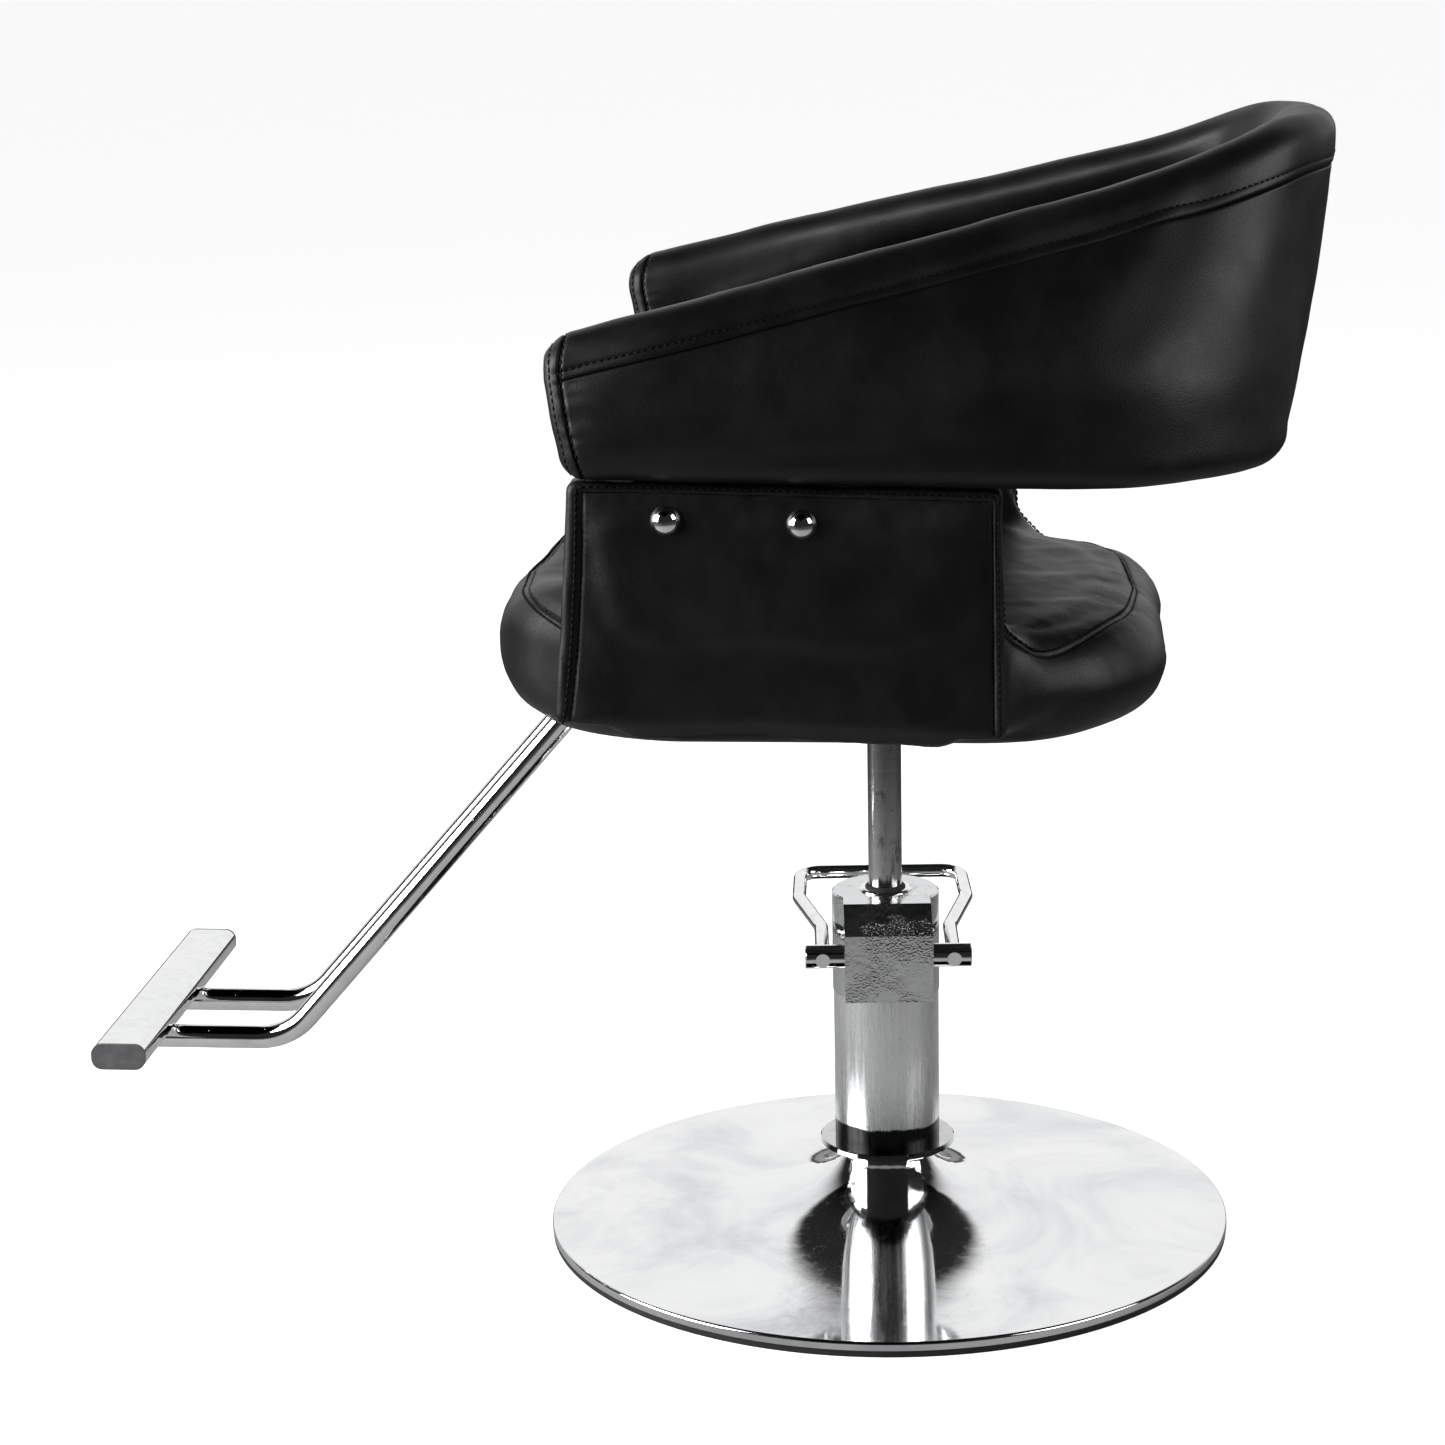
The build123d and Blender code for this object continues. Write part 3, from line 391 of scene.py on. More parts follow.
@dataclass(frozen=True)
class Plywood:
    """Raw birch plywood: long grain with darker pores and a sanded surface."""

    name: str = "birch_plywood"
    tint: Color = (0.66, 0.50, 0.33)
    dark: Color = (0.42, 0.28, 0.16)

    def build(self) -> bpy.types.Material:
        """Makes the material.

        Returns:
            The finished material.
        """
        s = Shader(self.name)
        grain = s.noise(s.coords(scale=(1, 0.06, 1)), 90.0, 5.0, 0.6, 1.0)
        s.set(
            Base_Color=s.mix(s.span(grain, 0.35, 0.75), self.tint, self.dark),
            Roughness=s.span(grain, 0.3, 0.7, 0.55, 0.75),
            Normal=s.bump(grain, 0.4, 0.0002),
        )
        return s.material


@dataclass(frozen=True)
class DustCloth:
    """Black non-woven cloth under the seat: pressed fibres with a dimple pattern, and painted shade between the
    fibres.
    """

    name: str = "dust_cloth"
    gap: Color = (0.010, 0.010, 0.011)
    fibre: Color = (0.035, 0.035, 0.037)

    def build(self) -> bpy.types.Material:
        """Makes the material.

        Returns:
            The finished material.
        """
        s = Shader(self.name)
        place = s.coords()
        dimple = s.cells(place, 700.0, randomness=0.15)
        fibre = s.noise(place, 1400.0, 3.0, 0.7, 2.0)
        # the colour darker where the fibre noise is low is painted shade between the fibres
        s.set(
            Base_Color=s.mix(fibre, self.gap, self.fibre),
            Roughness=0.9,
            Normal=s.bump(s.math("ADD", dimple, s.math("MULTIPLY", fibre, 0.4)), 0.5, 0.0003),
        )
        return s.material


@dataclass(frozen=True)
class Leatherette:
    """Black coated cloth with a fine pebbled grain, satin sheen and dark creases at its seams, where painted shade
    turns down the colour and the sheen.
    """

    name: str = "black_leatherette"
    tint: Color = (0.0022, 0.0022, 0.0024)
    worn: Color = (0.0046, 0.0046, 0.0050)
    roughness: tuple[float, float] = (0.38, 0.48)
    crease: float = 0.0012
    crease_shade_tint: Color = (0.003, 0.003, 0.003)
    shine: float = 0.37
    crease_shade_shine: float = 0.04

    def build(self) -> bpy.types.Material:
        """Makes the material.

        Returns:
            The finished material.
        """
        s = Shader(self.name)
        place = s.coords()
        broad = s.noise(place, 14.0, 4.0, 0.6)
        pebble = s.cells(place, 820.0, Cells.SOFT)
        fine = s.noise(place, 2100.0, 2.0)
        # by the seams the colour and sheen are turned down: painted shade in the creases
        near = s.span(s.attribute("seam"), 0.0, self.crease, 1.0, 0.0)
        cover = s.mix(s.span(broad, 0.35, 0.72), self.tint, self.worn)
        gloss = s.math("ADD", s.span(broad, 0.3, 0.7, *self.roughness), s.span(pebble, 0.0, 0.9, 0.0, 0.08))
        grain = s.bump(s.math("ADD", pebble, s.math("MULTIPLY", fine, 0.25)), 0.42, 0.00022)
        s.set(
            Base_Color=s.mix(near, cover, self.crease_shade_tint),
            Roughness=s.math("ADD", gloss, s.math("MULTIPLY", near, 0.3)),
            Normal=s.bump(near, 0.8, -0.0006, grain),
            Specular_IOR_Level=s.span(near, 0.0, 1.0, self.shine, self.crease_shade_shine),
        )
        return s.material


@dataclass(frozen=True)
class Thread:
    """Black bonded nylon thread, with painted shade in the hollows of its twist."""

    name: str = "black_thread"
    twist_shade: Color = (0.001, 0.001, 0.001)
    strand: Color = (0.004, 0.004, 0.004)

    def build(self) -> bpy.types.Material:
        """Makes the material.

        Returns:
            The finished material.
        """
        s = Shader(self.name)
        twist = s.noise(s.coords(), 2600.0, 2.0)
        # darker where the twist's bump is low: painted shade in the thread's hollows
        s.set(
            Base_Color=s.mix(twist, self.twist_shade, self.strand),
            Roughness=0.5,
            Specular_IOR_Level=0.12,
            Normal=s.bump(twist, 0.5, 0.0002),
        )
        return s.material


class Finishes:
    """Every finish of the chair, and which CAD node wears which."""

    def __init__(self) -> None:
        """Builds each material once."""
        self.mirror = Chrome().build()
        self.bright = Chrome(
            "chrome_tube", roughness=(0.03, 0.07), cloud_scale=40.0, pit_depth=0.0002, painted_swirl_share=0.35,
        ).build()
        self.flange = Chrome(
            "chrome_flange", tint=(0.62, 0.625, 0.63), painted_swirl_tint=(0.40, 0.40, 0.41), cloud_scale=30.0,
        ).build()
        self.brushed = BrushedPlate().build()
        self.cast = CastPlate().build()
        self.ground = GroundSteel().build()
        self.zinc = PlainSurface(
            "zinc_steel", tint=(0.52, 0.53, 0.54), other=(0.36, 0.37, 0.38),
            metallic=1.0, roughness=(0.22, 0.4), scale=60.0, depth=0.00004,
        ).build()
        self.paint = PlainSurface(
            "black_paint", tint=(0.012, 0.012, 0.013), other=(0.022, 0.022, 0.024),
            metallic=0.0, roughness=(0.32, 0.5), scale=40.0, depth=0.00008,
        ).build()
        self.rubber = PlainSurface(
            "black_rubber", tint=(0.012, 0.012, 0.012), other=(0.024, 0.024, 0.024),
            metallic=0.0, roughness=(0.6, 0.8), scale=30.0, depth=0.00012,
        ).build()
        self.cap = PlainSurface(
            "grey_cap", tint=(0.10, 0.10, 0.105), other=(0.14, 0.14, 0.145),
            metallic=0.0, roughness=(0.42, 0.6), scale=80.0, depth=0.0001,
        ).build()
        self.bronze = PlainSurface(
            "bush_bronze", tint=(0.55, 0.38, 0.20), other=(0.42, 0.28, 0.14),
            metallic=1.0, roughness=(0.3, 0.45), scale=90.0, depth=0.00005,
        ).build()
        self.wood = Plywood().build()
        self.cloth = DustCloth().build()
        self.leather = Leatherette().build()
        self.thread = Thread().build()

    def dress_frame(self, nodes: dict[str, bpy.types.Object]) -> None:
        """Gives each CAD node the finish of its material slot, or a closer one.

        Args:
            nodes: The frame's objects by node name.
        """
        by_slot = {
            "chrome_polished": self.bright, "chrome_satin": self.brushed, "cast_chrome": self.cast,
            "bare_steel": self.ground, "plain_steel": self.zinc, "painted_steel": self.paint,
            "bronze": self.bronze, "rubber": self.rubber, "cap_plastic": self.cap,
            "plywood": self.wood, "dust_cover": self.cloth, "upholstery": self.leather,
        }
        own = {"base_shell": self.mirror, "pump_foot": self.flange}
        for row in frame["record"]["subparts"]:
            node = nodes[row["node"]]
            node.data.materials.clear()
            node.data.materials.append(own.get(row["node"], by_slot[row["material_slot"]]))


# ---------------------------------------------------------------- shaping tools
def smooth_step(low: float, high: float, value: Array) -> Array:
    """Rises smoothly from 0 at low to 1 at high.

    Args:
        low: Where it starts.
        high: Where it ends; below low, it falls with the value.
        value: The values.

    Returns:
        The share for each value.
    """
    t = np.clip((value - low) / (high - low), 0.0, 1.0)
    return t * t * (3 - 2 * t)


def unit(vectors: Array) -> Array:
    """Scales each row to length one."""
    return vectors / np.maximum(np.linalg.norm(vectors, axis=-1, keepdims=True), 1e-12)


def waves(points: Array, length: float, seed: int, octaves: int = 3) -> Array:
    """Smooth repeatable unevenness from crossed sine waves.

    Args:
        points: Where to take it, in metres.
        length: The longest wave, in metres.
        seed: Picks the directions.
        octaves: How many times finer waves are added.

    Returns:
        One value a point, about from -1 to 1.
    """
    finer, weaker, crossed = 1.9, 0.55, 5
    rng = np.random.default_rng(seed)
    total = np.zeros(len(points))
    for octave in range(octaves):
        for _ in range(crossed):
            way = unit(rng.normal(size=3)) * 2 * math.pi / length * finer**octave * rng.uniform(0.7, 1.3)
            total += np.sin(points @ way + rng.uniform(0, 2 * math.pi)) * weaker**octave / 4
    return total


def dip(away: Array, width: float) -> Array:
    """Gives a bell that is 1 at no distance and fades over the width."""
    return np.exp(-((away / width) ** 2))


def put_in_scene(name: str, data: bpy.types.ID) -> bpy.types.Object:
    """Makes an object and links it to the scene.

    Args:
        name: Its name.
        data: Its mesh, lamp or camera.

    Returns:
        The object.
    """
    made = bpy.data.objects.new(name, data)
    bpy.context.scene.collection.objects.link(made)
    return made


def mesh_object(name: str, points: Array, faces: Sequence[Sequence[int]]) -> bpy.types.Object:
    """Makes a smooth-shaded object at the origin.

    Args:
        name: Its name.
        points: Its vertices in metres.
        faces: Vertex numbers of each face.

    Returns:
        The object, linked to the scene.
    """
    mesh = bpy.data.meshes.new(name)
    mesh.from_pydata([tuple(p) for p in points], [], [tuple(int(i) for i in f) for f in faces])
    mesh.validate()
    mesh.shade_smooth()
    return put_in_scene(name, mesh)


def finished_mesh(piece: bpy.types.Object) -> bpy.types.Mesh:
    """Makes a plain mesh of an object with its modifiers applied."""
    return bpy.data.meshes.new_from_object(piece.evaluated_get(bpy.context.evaluated_depsgraph_get()))


def read_vectors(mesh: bpy.types.Mesh, kind: str = "co") -> Array:
    """Reads a vector from each vertex.

    Args:
        mesh: The mesh.
        kind: "co" for its place, or "normal" for its direction.

    Returns:
        One row a vertex.
    """
    flat = np.empty(len(mesh.vertices) * 3, np.float32)
    mesh.vertices.foreach_get(kind, flat)
    return flat.reshape(-1, 3).astype(float)


def move_points(piece: bpy.types.Object, points: Array) -> None:
    """Puts a piece's vertices at new places."""
    piece.data.vertices.foreach_set("co", points.astype(np.float32).ravel())
    piece.data.update()


def put_attribute(piece: bpy.types.Object, name: str, values: Array) -> None:
    """Stores one number a vertex."""
    store = piece.data.attributes.new(name, "FLOAT", "POINT")
    store.data.foreach_set("value", values.astype(np.float32))


def path_through(points: Sequence[Sequence[float]], count: int) -> Array:
    """Runs a smooth path through points and divides it evenly.

    Args:
        points: The path's own points.
        count: How many points to give back.

    Returns:
        The points, evenly spaced.
    """
    p = np.asarray(points, float)
    ends = np.vstack([2 * p[0] - p[1], p, 2 * p[-1] - p[-2]])
    t = np.linspace(0, 1, 24, endpoint=False)[:, None]
    rows = []
    for i in range(len(p) - 1):
        a, b, c, d = ends[i : i + 4]
        rows.append(0.5 * (2 * b + (c - a) * t + (2 * a - 5 * b + 4 * c - d) * t**2 + (3 * b - a - 3 * c + d) * t**3))
    return evenly(np.vstack([*rows, p[-1:]]), count)


def run_of(points: Array) -> Array:
    """Gives how far along a path each of its points lies."""
    return np.concatenate([[0], np.cumsum(np.linalg.norm(np.diff(points, axis=0), axis=1))])


def read_path(points: Array, run: Array, at: Array) -> Array:
    """Reads a path at some distances along it."""
    return np.stack([np.interp(at, run, points[:, i]) for i in range(points.shape[1])], axis=1)


def evenly(points: Array, count: int) -> Array:
    """Divides a path into evenly spaced points."""
    run = run_of(points)
    return read_path(points, run, np.linspace(0, run[-1], count))


def point_tree(points: Array) -> kdtree.KDTree:
    """Sorts points for quick searches.

    Args:
        points: The points.

    Returns:
        The search tree.
    """
    tree = kdtree.KDTree(len(points))
    for i, p in enumerate(points):
        tree.insert(p, i)
    tree.balance()
    return tree


def nearest(points: Array, lines: Sequence[Array], step: float = 0.0008) -> Array:
    """Measures from points to the nearest of some lines.

    Args:
        points: Where to measure from.
        lines: The lines.
        step: How closely the lines are divided, in metres.

    Returns:
        The distances.
    """
    tree = point_tree(np.vstack([evenly(line, max(2, int(run_of(line)[-1] / step))) for line in lines]))
    return np.array([tree.find(p)[2] for p in points])


# ---------------------------------------------------------------- stitching
@dataclass
class Stitching:
    """Rows of thread laid along seam lines by Geometry Nodes."""

    pitch: float = 0.0056
    length: float = 0.0042
    radius: float = 0.0009
    rise: float = 0.0009
    sunk: float = 0.9

    def tree(self) -> bpy.types.NodeTree:
        """Builds the node tree that lays one stitch on each step of a line.

        Returns:
            The tree, whose inputs are Pitch, Length, Radius, Rise and Material.
        """
        tree = bpy.data.node_groups.new("thread_row", "GeometryNodeTree")
        face = tree.interface
        face.new_socket("Geometry", in_out="INPUT", socket_type="NodeSocketGeometry")
        for name in ("Pitch", "Length", "Radius", "Rise"):
            face.new_socket(name, in_out="INPUT", socket_type="NodeSocketFloat")
        face.new_socket("Material", in_out="INPUT", socket_type="NodeSocketMaterial")
        face.new_socket("Geometry", in_out="OUTPUT", socket_type="NodeSocketGeometry")
        nodes = Nodes(tree)
        given = nodes.node("NodeGroupInput").outputs
        line = nodes.node("GeometryNodeMeshToCurve", {"Mesh": given["Geometry"]}).outputs[0]
        steps = nodes.node("GeometryNodeResampleCurve", {"Curve": line, "Length": given["Pitch"]}, mode="LENGTH")
        half = nodes.math("MULTIPLY", given["Length"], 0.5)
        back = nodes.math("MULTIPLY", half, -1.0)
        under = nodes.math("MULTIPLY", given["Rise"], -self.sunk)
        bow: dict[str, object] = {"Resolution": 5}
        for end, along, up in (("Start", back, under), ("Middle", 0.0, given["Rise"]), ("End", half, under)):
            bow[end] = nodes.node("ShaderNodeCombineXYZ", {"X": along, "Z": up}).outputs[0]
        circle = {"Resolution": 6, "Radius": given["Radius"]}
        stitch = nodes.node("GeometryNodeCurveToMesh", {
            "Curve": nodes.node("GeometryNodeCurveQuadraticBezier", bow).outputs[0],
            "Profile Curve": nodes.node("GeometryNodeCurvePrimitiveCircle", circle).outputs[0],
            "Fill Caps": True,
        })
        way = nodes.node("GeometryNodeInputTangent").outputs[0]
        ahead = nodes.node("FunctionNodeAlignRotationToVector", {"Vector": way}, axis="X")
        outward = nodes.node("GeometryNodeInputNamedAttribute", {"Name": "outward"}, data_type="FLOAT_VECTOR")
        turned = nodes.node("FunctionNodeAlignRotationToVector", {
            "Rotation": ahead.outputs[0], "Vector": outward.outputs["Attribute"],
        }, axis="Z", pivot_axis="X")
        laid = nodes.node("GeometryNodeInstanceOnPoints", {
            "Points": steps.outputs[0], "Instance": stitch.outputs[0], "Rotation": turned.outputs[0],
        })
        real = nodes.node("GeometryNodeRealizeInstances", {"Geometry": laid.outputs[0]})
        dressed = nodes.node("GeometryNodeSetMaterial", {
            "Geometry": real.outputs[0], "Material": given["Material"],
        })
        nodes.node("NodeGroupOutput", {"Geometry": dressed.outputs[0]})
        return tree

    def lay(self, name: str, rows: Sequence[Row], thread: bpy.types.Material) -> bpy.types.Object:
        """Lays thread along rows.

        Args:
            name: The piece's name.
            rows: Each row's points and the outward direction at each.
            thread: The thread's material.

        Returns:
            A plain mesh of all the stitches.
        """
        points = np.vstack([r[0] for r in rows])
        edges, start = [], 0
        for row, _ in rows:
            edges += [(i, i + 1) for i in range(start, start + len(row) - 1)]
            start += len(row)
        mesh = bpy.data.meshes.new(name + "_line")
        mesh.from_pydata([tuple(p) for p in points], edges, [])
        store = mesh.attributes.new("outward", "FLOAT_VECTOR", "POINT")
        store.data.foreach_set("vector", np.vstack([r[1] for r in rows]).astype(np.float32).ravel())
        line = put_in_scene(name + "_line", mesh)
        modifier = line.modifiers.new("rows", "NODES")
        modifier.node_group = self.tree()
        given = {"Pitch": self.pitch, "Length": self.length, "Radius": self.radius, "Rise": self.rise,
                 "Material": thread}
        for item in modifier.node_group.interface.items_tree:
            if item.in_out == "INPUT" and item.name in given:
                modifier[item.identifier] = given[item.name]
        bpy.context.view_layer.update()
        made = finished_mesh(line)
        line.modifiers.clear()
        bpy.data.objects.remove(line)
        made.name = name
        made.shade_smooth()
        return put_in_scene(name, made)


# ---------------------------------------------------------------- back band
class Zone(IntEnum):
    """Part of the back strip's section, in the order going round from its lowest inner point."""

    FOOT = 0
    OUTSIDE = 1
    SEAM = 2
    ROLL = 3
    INSIDE = 4


@dataclass(frozen=True)
class Section:
    """The back strip's section: one value a point in each field.

    Attributes:
        zone: Which part the point lies on.
        side: Its sideways offset, outwards positive.
        share: Its share of the height of its face.
        lift: Its offset in height from the part's own level, which doesn't scale.
    """

    zone: Array
    side: Array
    share: Array
    lift: Array

    def above_seam(self) -> Array:
        """Gives the distance above the rim's seam, or a large number off that part."""
        return np.where(self.zone == Zone.SEAM, self.lift, OFF_SEAM)


@dataclass
class BackBand:
    """The padded back that wraps round into both arms: one bent strip with a rolled rim."""

    half_thick: float = 0.027
    low_z: float = 0.6985
    low_drop: float = 0.008
    front_y: float = -0.2315
    arm_half: float = 0.2695
    low_rear: float = 0.2935
    low_corner: float = 0.138
    front_top_z: float = 0.8065
    low_round: float = 0.020
    end_round: float = 0.015
    seam_down: float = 0.0275
    lean_z: float = 0.755
    step: float = 0.0085
    run: float = 0.68
    divisions: int = 400
    bulge: float = 0.0022
    rim_thread: float = 0.0072
    end_thread: float = 0.0101
    end_thread_gap: float = 0.002

    def low_plan(self) -> Array:
        """Gives the padding's middle line at its lower edge.

        Returns:
            The line, from the rear's centre to the left arm.
        """
        r, half, rear = self.low_corner, self.arm_half, self.low_rear
        arc = [(half - r + r * math.sin(a), rear - r + r * math.cos(a)) for a in np.linspace(0, math.pi / 2, 24)]
        return evenly(np.array([(0, rear), *arc, (half, self.front_y)]), self.divisions)

    def top_plan(self) -> Array:
        """Gives the rim's middle line, which closes in behind the arms.

        Returns:
            The line, from the rear's centre to the left arm.
        """
        line = [(0, 0.3415), (0.060, 0.334), (0.113, 0.305), (0.147, 0.257), (0.178, 0.170), (0.206, 0.080),
                (0.236, -0.020), (0.260, -0.120), (self.arm_half, self.front_y)]
        return path_through(line, self.divisions)

    def rim_heights(self, y: Array) -> Array:
        """Gives the rim's top, which climbs from the arms to the rear, for places along the chair.

        Args:
            y: The places.

        Returns:
            The heights.
        """
        rim = path_through([(self.front_y, 0.8060), (-0.18, 0.8190), (-0.06, 0.8480), (0.06, 0.8755), (0.12, 0.8890),
                            (0.18, 0.9040), (0.24, 0.9215), (0.285, 0.9380), (0.315, 0.9485), (0.3415, 0.9510)], 300)
        return np.interp(y, rim[:, 0], rim[:, 1]) - 0.003 * np.exp(-((y - self.front_y) / 0.012))

    def stations(self) -> tuple[Array, Array]:
        """Gives each section's share of the way from the rear to the arm's front, and how far it draws in.

        Returns:
            The shares, from the rear's centre forwards, and the end rounding's inset for each.
        """
        body = np.linspace(0, 1 - (self.end_round + 0.009) / self.run, int(self.run / self.step))
        near = 1 - (self.end_round + np.array([0.006, 0.0035, 0.0018, 0.0008, 0.0, -0.0008])) / self.run
        turn = np.radians([6, 11, 17, 24, 29, 32, 35, 40, 48, 57, 67, 78, 90])
        cap = 1 - self.end_round * (1 - np.sin(turn)) / self.run
        inset = np.concatenate([np.zeros(len(body) + len(near)), self.end_round * (1 - np.cos(turn))])
        return np.concatenate([body, near, cap]), inset

    def section(self) -> Section:
        """Gives the strip's section.

        Returns:
            The section, starting at its lowest inner point and going round outwards.
        """
        w, r = self.half_thick, self.low_round
        flat = w - r
        quarter = np.radians([18, 36, 54, 72, 90])
        near_seam = (-0.005, -0.003, -0.0018, -0.0009, 0.0, 0.0007, 0.0016, 0.003, 0.0052, 0.0064,
                     self.rim_thread, 0.008, 0.0095)
        over = np.radians([14, 26, 39, 52, 65, 77, 90, 103, 115, 128, 141, 154, 167])
        rows = [(Zone.FOOT, -flat - r * math.sin(a), 0, r - r * math.cos(a)) for a in quarter[::-1]]
        rows += [(Zone.FOOT, n, 0, 0) for n in np.linspace(-flat, flat, 4)]
        rows += [(Zone.FOOT, flat + r * math.sin(a), 0, r - r * math.cos(a)) for a in quarter]
        rows += [(Zone.OUTSIDE, w, share, 0) for share in np.linspace(0, 1, 16)[1:-1]]
        rows += [(Zone.SEAM, w, 1, above) for above in near_seam]
        rows += [(Zone.ROLL, w * math.cos(a), 1, w * math.sin(a)) for a in over]
        rows += [(Zone.INSIDE, -w, share, 0) for share in np.linspace(1, 0, 18)[1:-1]]
        return Section(*np.array(rows, float).T)

    def profile(self, low_z: float, mid_z: float, seam_z: float, inset: float) -> tuple[Array, Array]:
        """Stands the section up between the strip's lower edge and its rim.

        Args:
            low_z: Height of the lower edge.
            mid_z: Height of the rim's centre.
            seam_z: Height of the rim's seam.
            inset: How far every side draws in, at the padded end.

        Returns:
            Each point's sideways offset and height.
        """
        part = self.section()
        face_low, seam_gap, roll_flat = low_z + self.low_round, 0.006, 0.96
        z = np.select(
            [part.zone == zone for zone in Zone],
            [
                low_z + part.lift,
                face_low + (seam_z - seam_gap - face_low) * part.share,
                seam_z + part.lift,
                mid_z + part.lift * roll_flat,
                face_low + (mid_z - face_low) * part.share,
            ],
        )
        tall = np.clip((z - face_low) / (mid_z - face_low), 0, 1)
        swollen = (part.zone != Zone.FOOT) & (part.zone != Zone.ROLL)
        n = part.side + np.sign(part.side) * self.bulge * np.sin(math.pi * tall) * swollen
        return self.draw_in(n, z, inset, face_low, mid_z)

    def surface(self) -> Array:
        """Works out every point of the strip, right arm to left arm.

        Returns:
            The points, by station and by place in the section.
        """
        share, inset = self.stations()
        low, top = self.low_plan(), self.top_plan()
        at, index = share * (self.divisions - 1), np.arange(self.divisions)
        b, t = read_path(low, index, at), read_path(top, index, at)
        rise = (t[:, 1] - self.front_y) / (top[0, 1] - self.front_y)
        top_z = self.rim_heights(t[:, 1])
        mid_z = top_z - self.half_thick
        seam_z = top_z - self.seam_down - 0.009 * smooth_step(0.75, 1.0, rise) - self.rim_thread
        floor_z = self.low_z - self.low_drop * smooth_step(-0.26, 0.14, b[:, 1])
        rows = []
        for i in range(len(share)):
            n, z = self.profile(floor_z[i], mid_z[i], seam_z[i], inset[i])
            start = min(self.lean_z, mid_z[i] - 0.06)
            lean_x = np.clip((z - start) / (mid_z[i] - start), 0, 1) ** 1.7
            lean_y = np.clip((z - floor_z[i]) / (top_z[i] - floor_z[i]), 0, 1)
            lean = np.stack([lean_x, lean_y], axis=1)
            before, after = max(i - 1, 0), min(i + 1, len(share) - 1)
            way = (b[after] - b[before]) * (1 - lean) + (t[after] - t[before]) * lean
            if i == 0:
                way = np.tile((1.0, 0.0), (len(z), 1))
            way = unit(way)
            place = b[i] + (t[i] - b[i]) * lean + np.stack([-way[:, 1], way[:, 0]], axis=1) * n[:, None]
            forward = smooth_step(0.09, 0.0, t[i, 1] - self.front_y)
            place[:, 1] += forward * self.front_shift(z)
            rows.append(np.column_stack([place, z]))
        points = np.array(rows)
        return np.concatenate([points[::-1] * (-1, 1, 1), points[1:]])

    def front_shift(self, z: Array) -> Array:
        """Gives how far the arm's front edge stands behind its foremost line at each height."""
        heights = (self.low_z, 0.735, 0.775, 0.792, self.front_top_z)
        return np.interp(z, heights, (0.010, 0.001, -0.007, -0.0075, -0.004))

    def draw_in(self, n: Array, z: Array, amount: float, low_z: float, mid_z: float) -> tuple[Array, Array]:
        """Shrinks a section towards its middle, as the padded end rounds over.

        Args:
            n: Sideways offsets.
            z: Heights.
            amount: How far every side moves in.
            low_z: Height of the lower rounding's centre.
            mid_z: The rim's centre height.

        Returns:
            The new offsets and heights.
        """
        if amount <= 0:
            return n, z
        flat = self.half_thick - self.low_round
        z_core = np.clip(z, low_z, mid_z)
        n_core = np.clip(n, -flat, flat) * (z < low_z)
        away = np.stack([n - n_core, z - z_core], axis=1)
        reach = np.linalg.norm(away, axis=1, keepdims=True)
        moved = away * np.clip((reach - amount) / np.maximum(reach, 1e-9), 0.02, 1)
        return n_core + moved[:, 0], z_core + moved[:, 1]

    def faces(self, count: int, ring: int) -> list[tuple[int, ...]]:
        """Gives the faces of a strip of some stations of ring points each, closed at both ends.

        Args:
            count: How many stations it has.
            ring: How many points each has.

        Returns:
            Vertex numbers of each face.
        """
        faces = []
        for i in range(count - 1):
            for j in range(ring):
                k = (j + 1) % ring
                faces.append((i * ring + j, i * ring + k, (i + 1) * ring + k, (i + 1) * ring + j))
        for base, flip in ((0, False), ((count - 1) * ring, True)):
            for j in range(ring // 2 - 1):
                quad = (base + j, base + j + 1, base + ring - 2 - j, base + ring - 1 - j)
                faces.append(quad if flip else quad[::-1])
        return faces

    def swelling(self, flat: Array, from_seam: Array, past_end: Array, on_face: Array) -> Array:
        """Gives how far padding, seams and puckers move the cover outwards.

        Args:
            flat: The strip's points.
            from_seam: Their distances above the rim's seam.
            past_end: Their distances from the end's seam, negative on the rounded end.
            on_face: Which of them lie by the rim's seam.

        Returns:
            The outward movement of each point.
        """
        push = 0.0009 * waves(flat, 0.16, 4) + 0.0004 * waves(flat, 0.05, 9)
        edge = smooth_step(0.0005, 0.0022, from_seam) * smooth_step(0.02, 0.006, from_seam)
        by_rim = -0.0011 * dip(from_seam, 0.0009) + 0.0009 * edge - 0.0006 * dip(from_seam - self.rim_thread, 0.0010)
        push += np.where(on_face, by_rim, 0)
        push -= 0.0016 * dip(past_end, 0.0012) + 0.0006 * dip(past_end + self.end_thread, 0.0012)
        pucker = np.sin(flat[:, 2] * 2 * math.pi / 0.0125 + 2 * np.sin(flat[:, 2] * 130))
        return push + 0.0007 * pucker * dip(past_end - 0.004, 0.009)

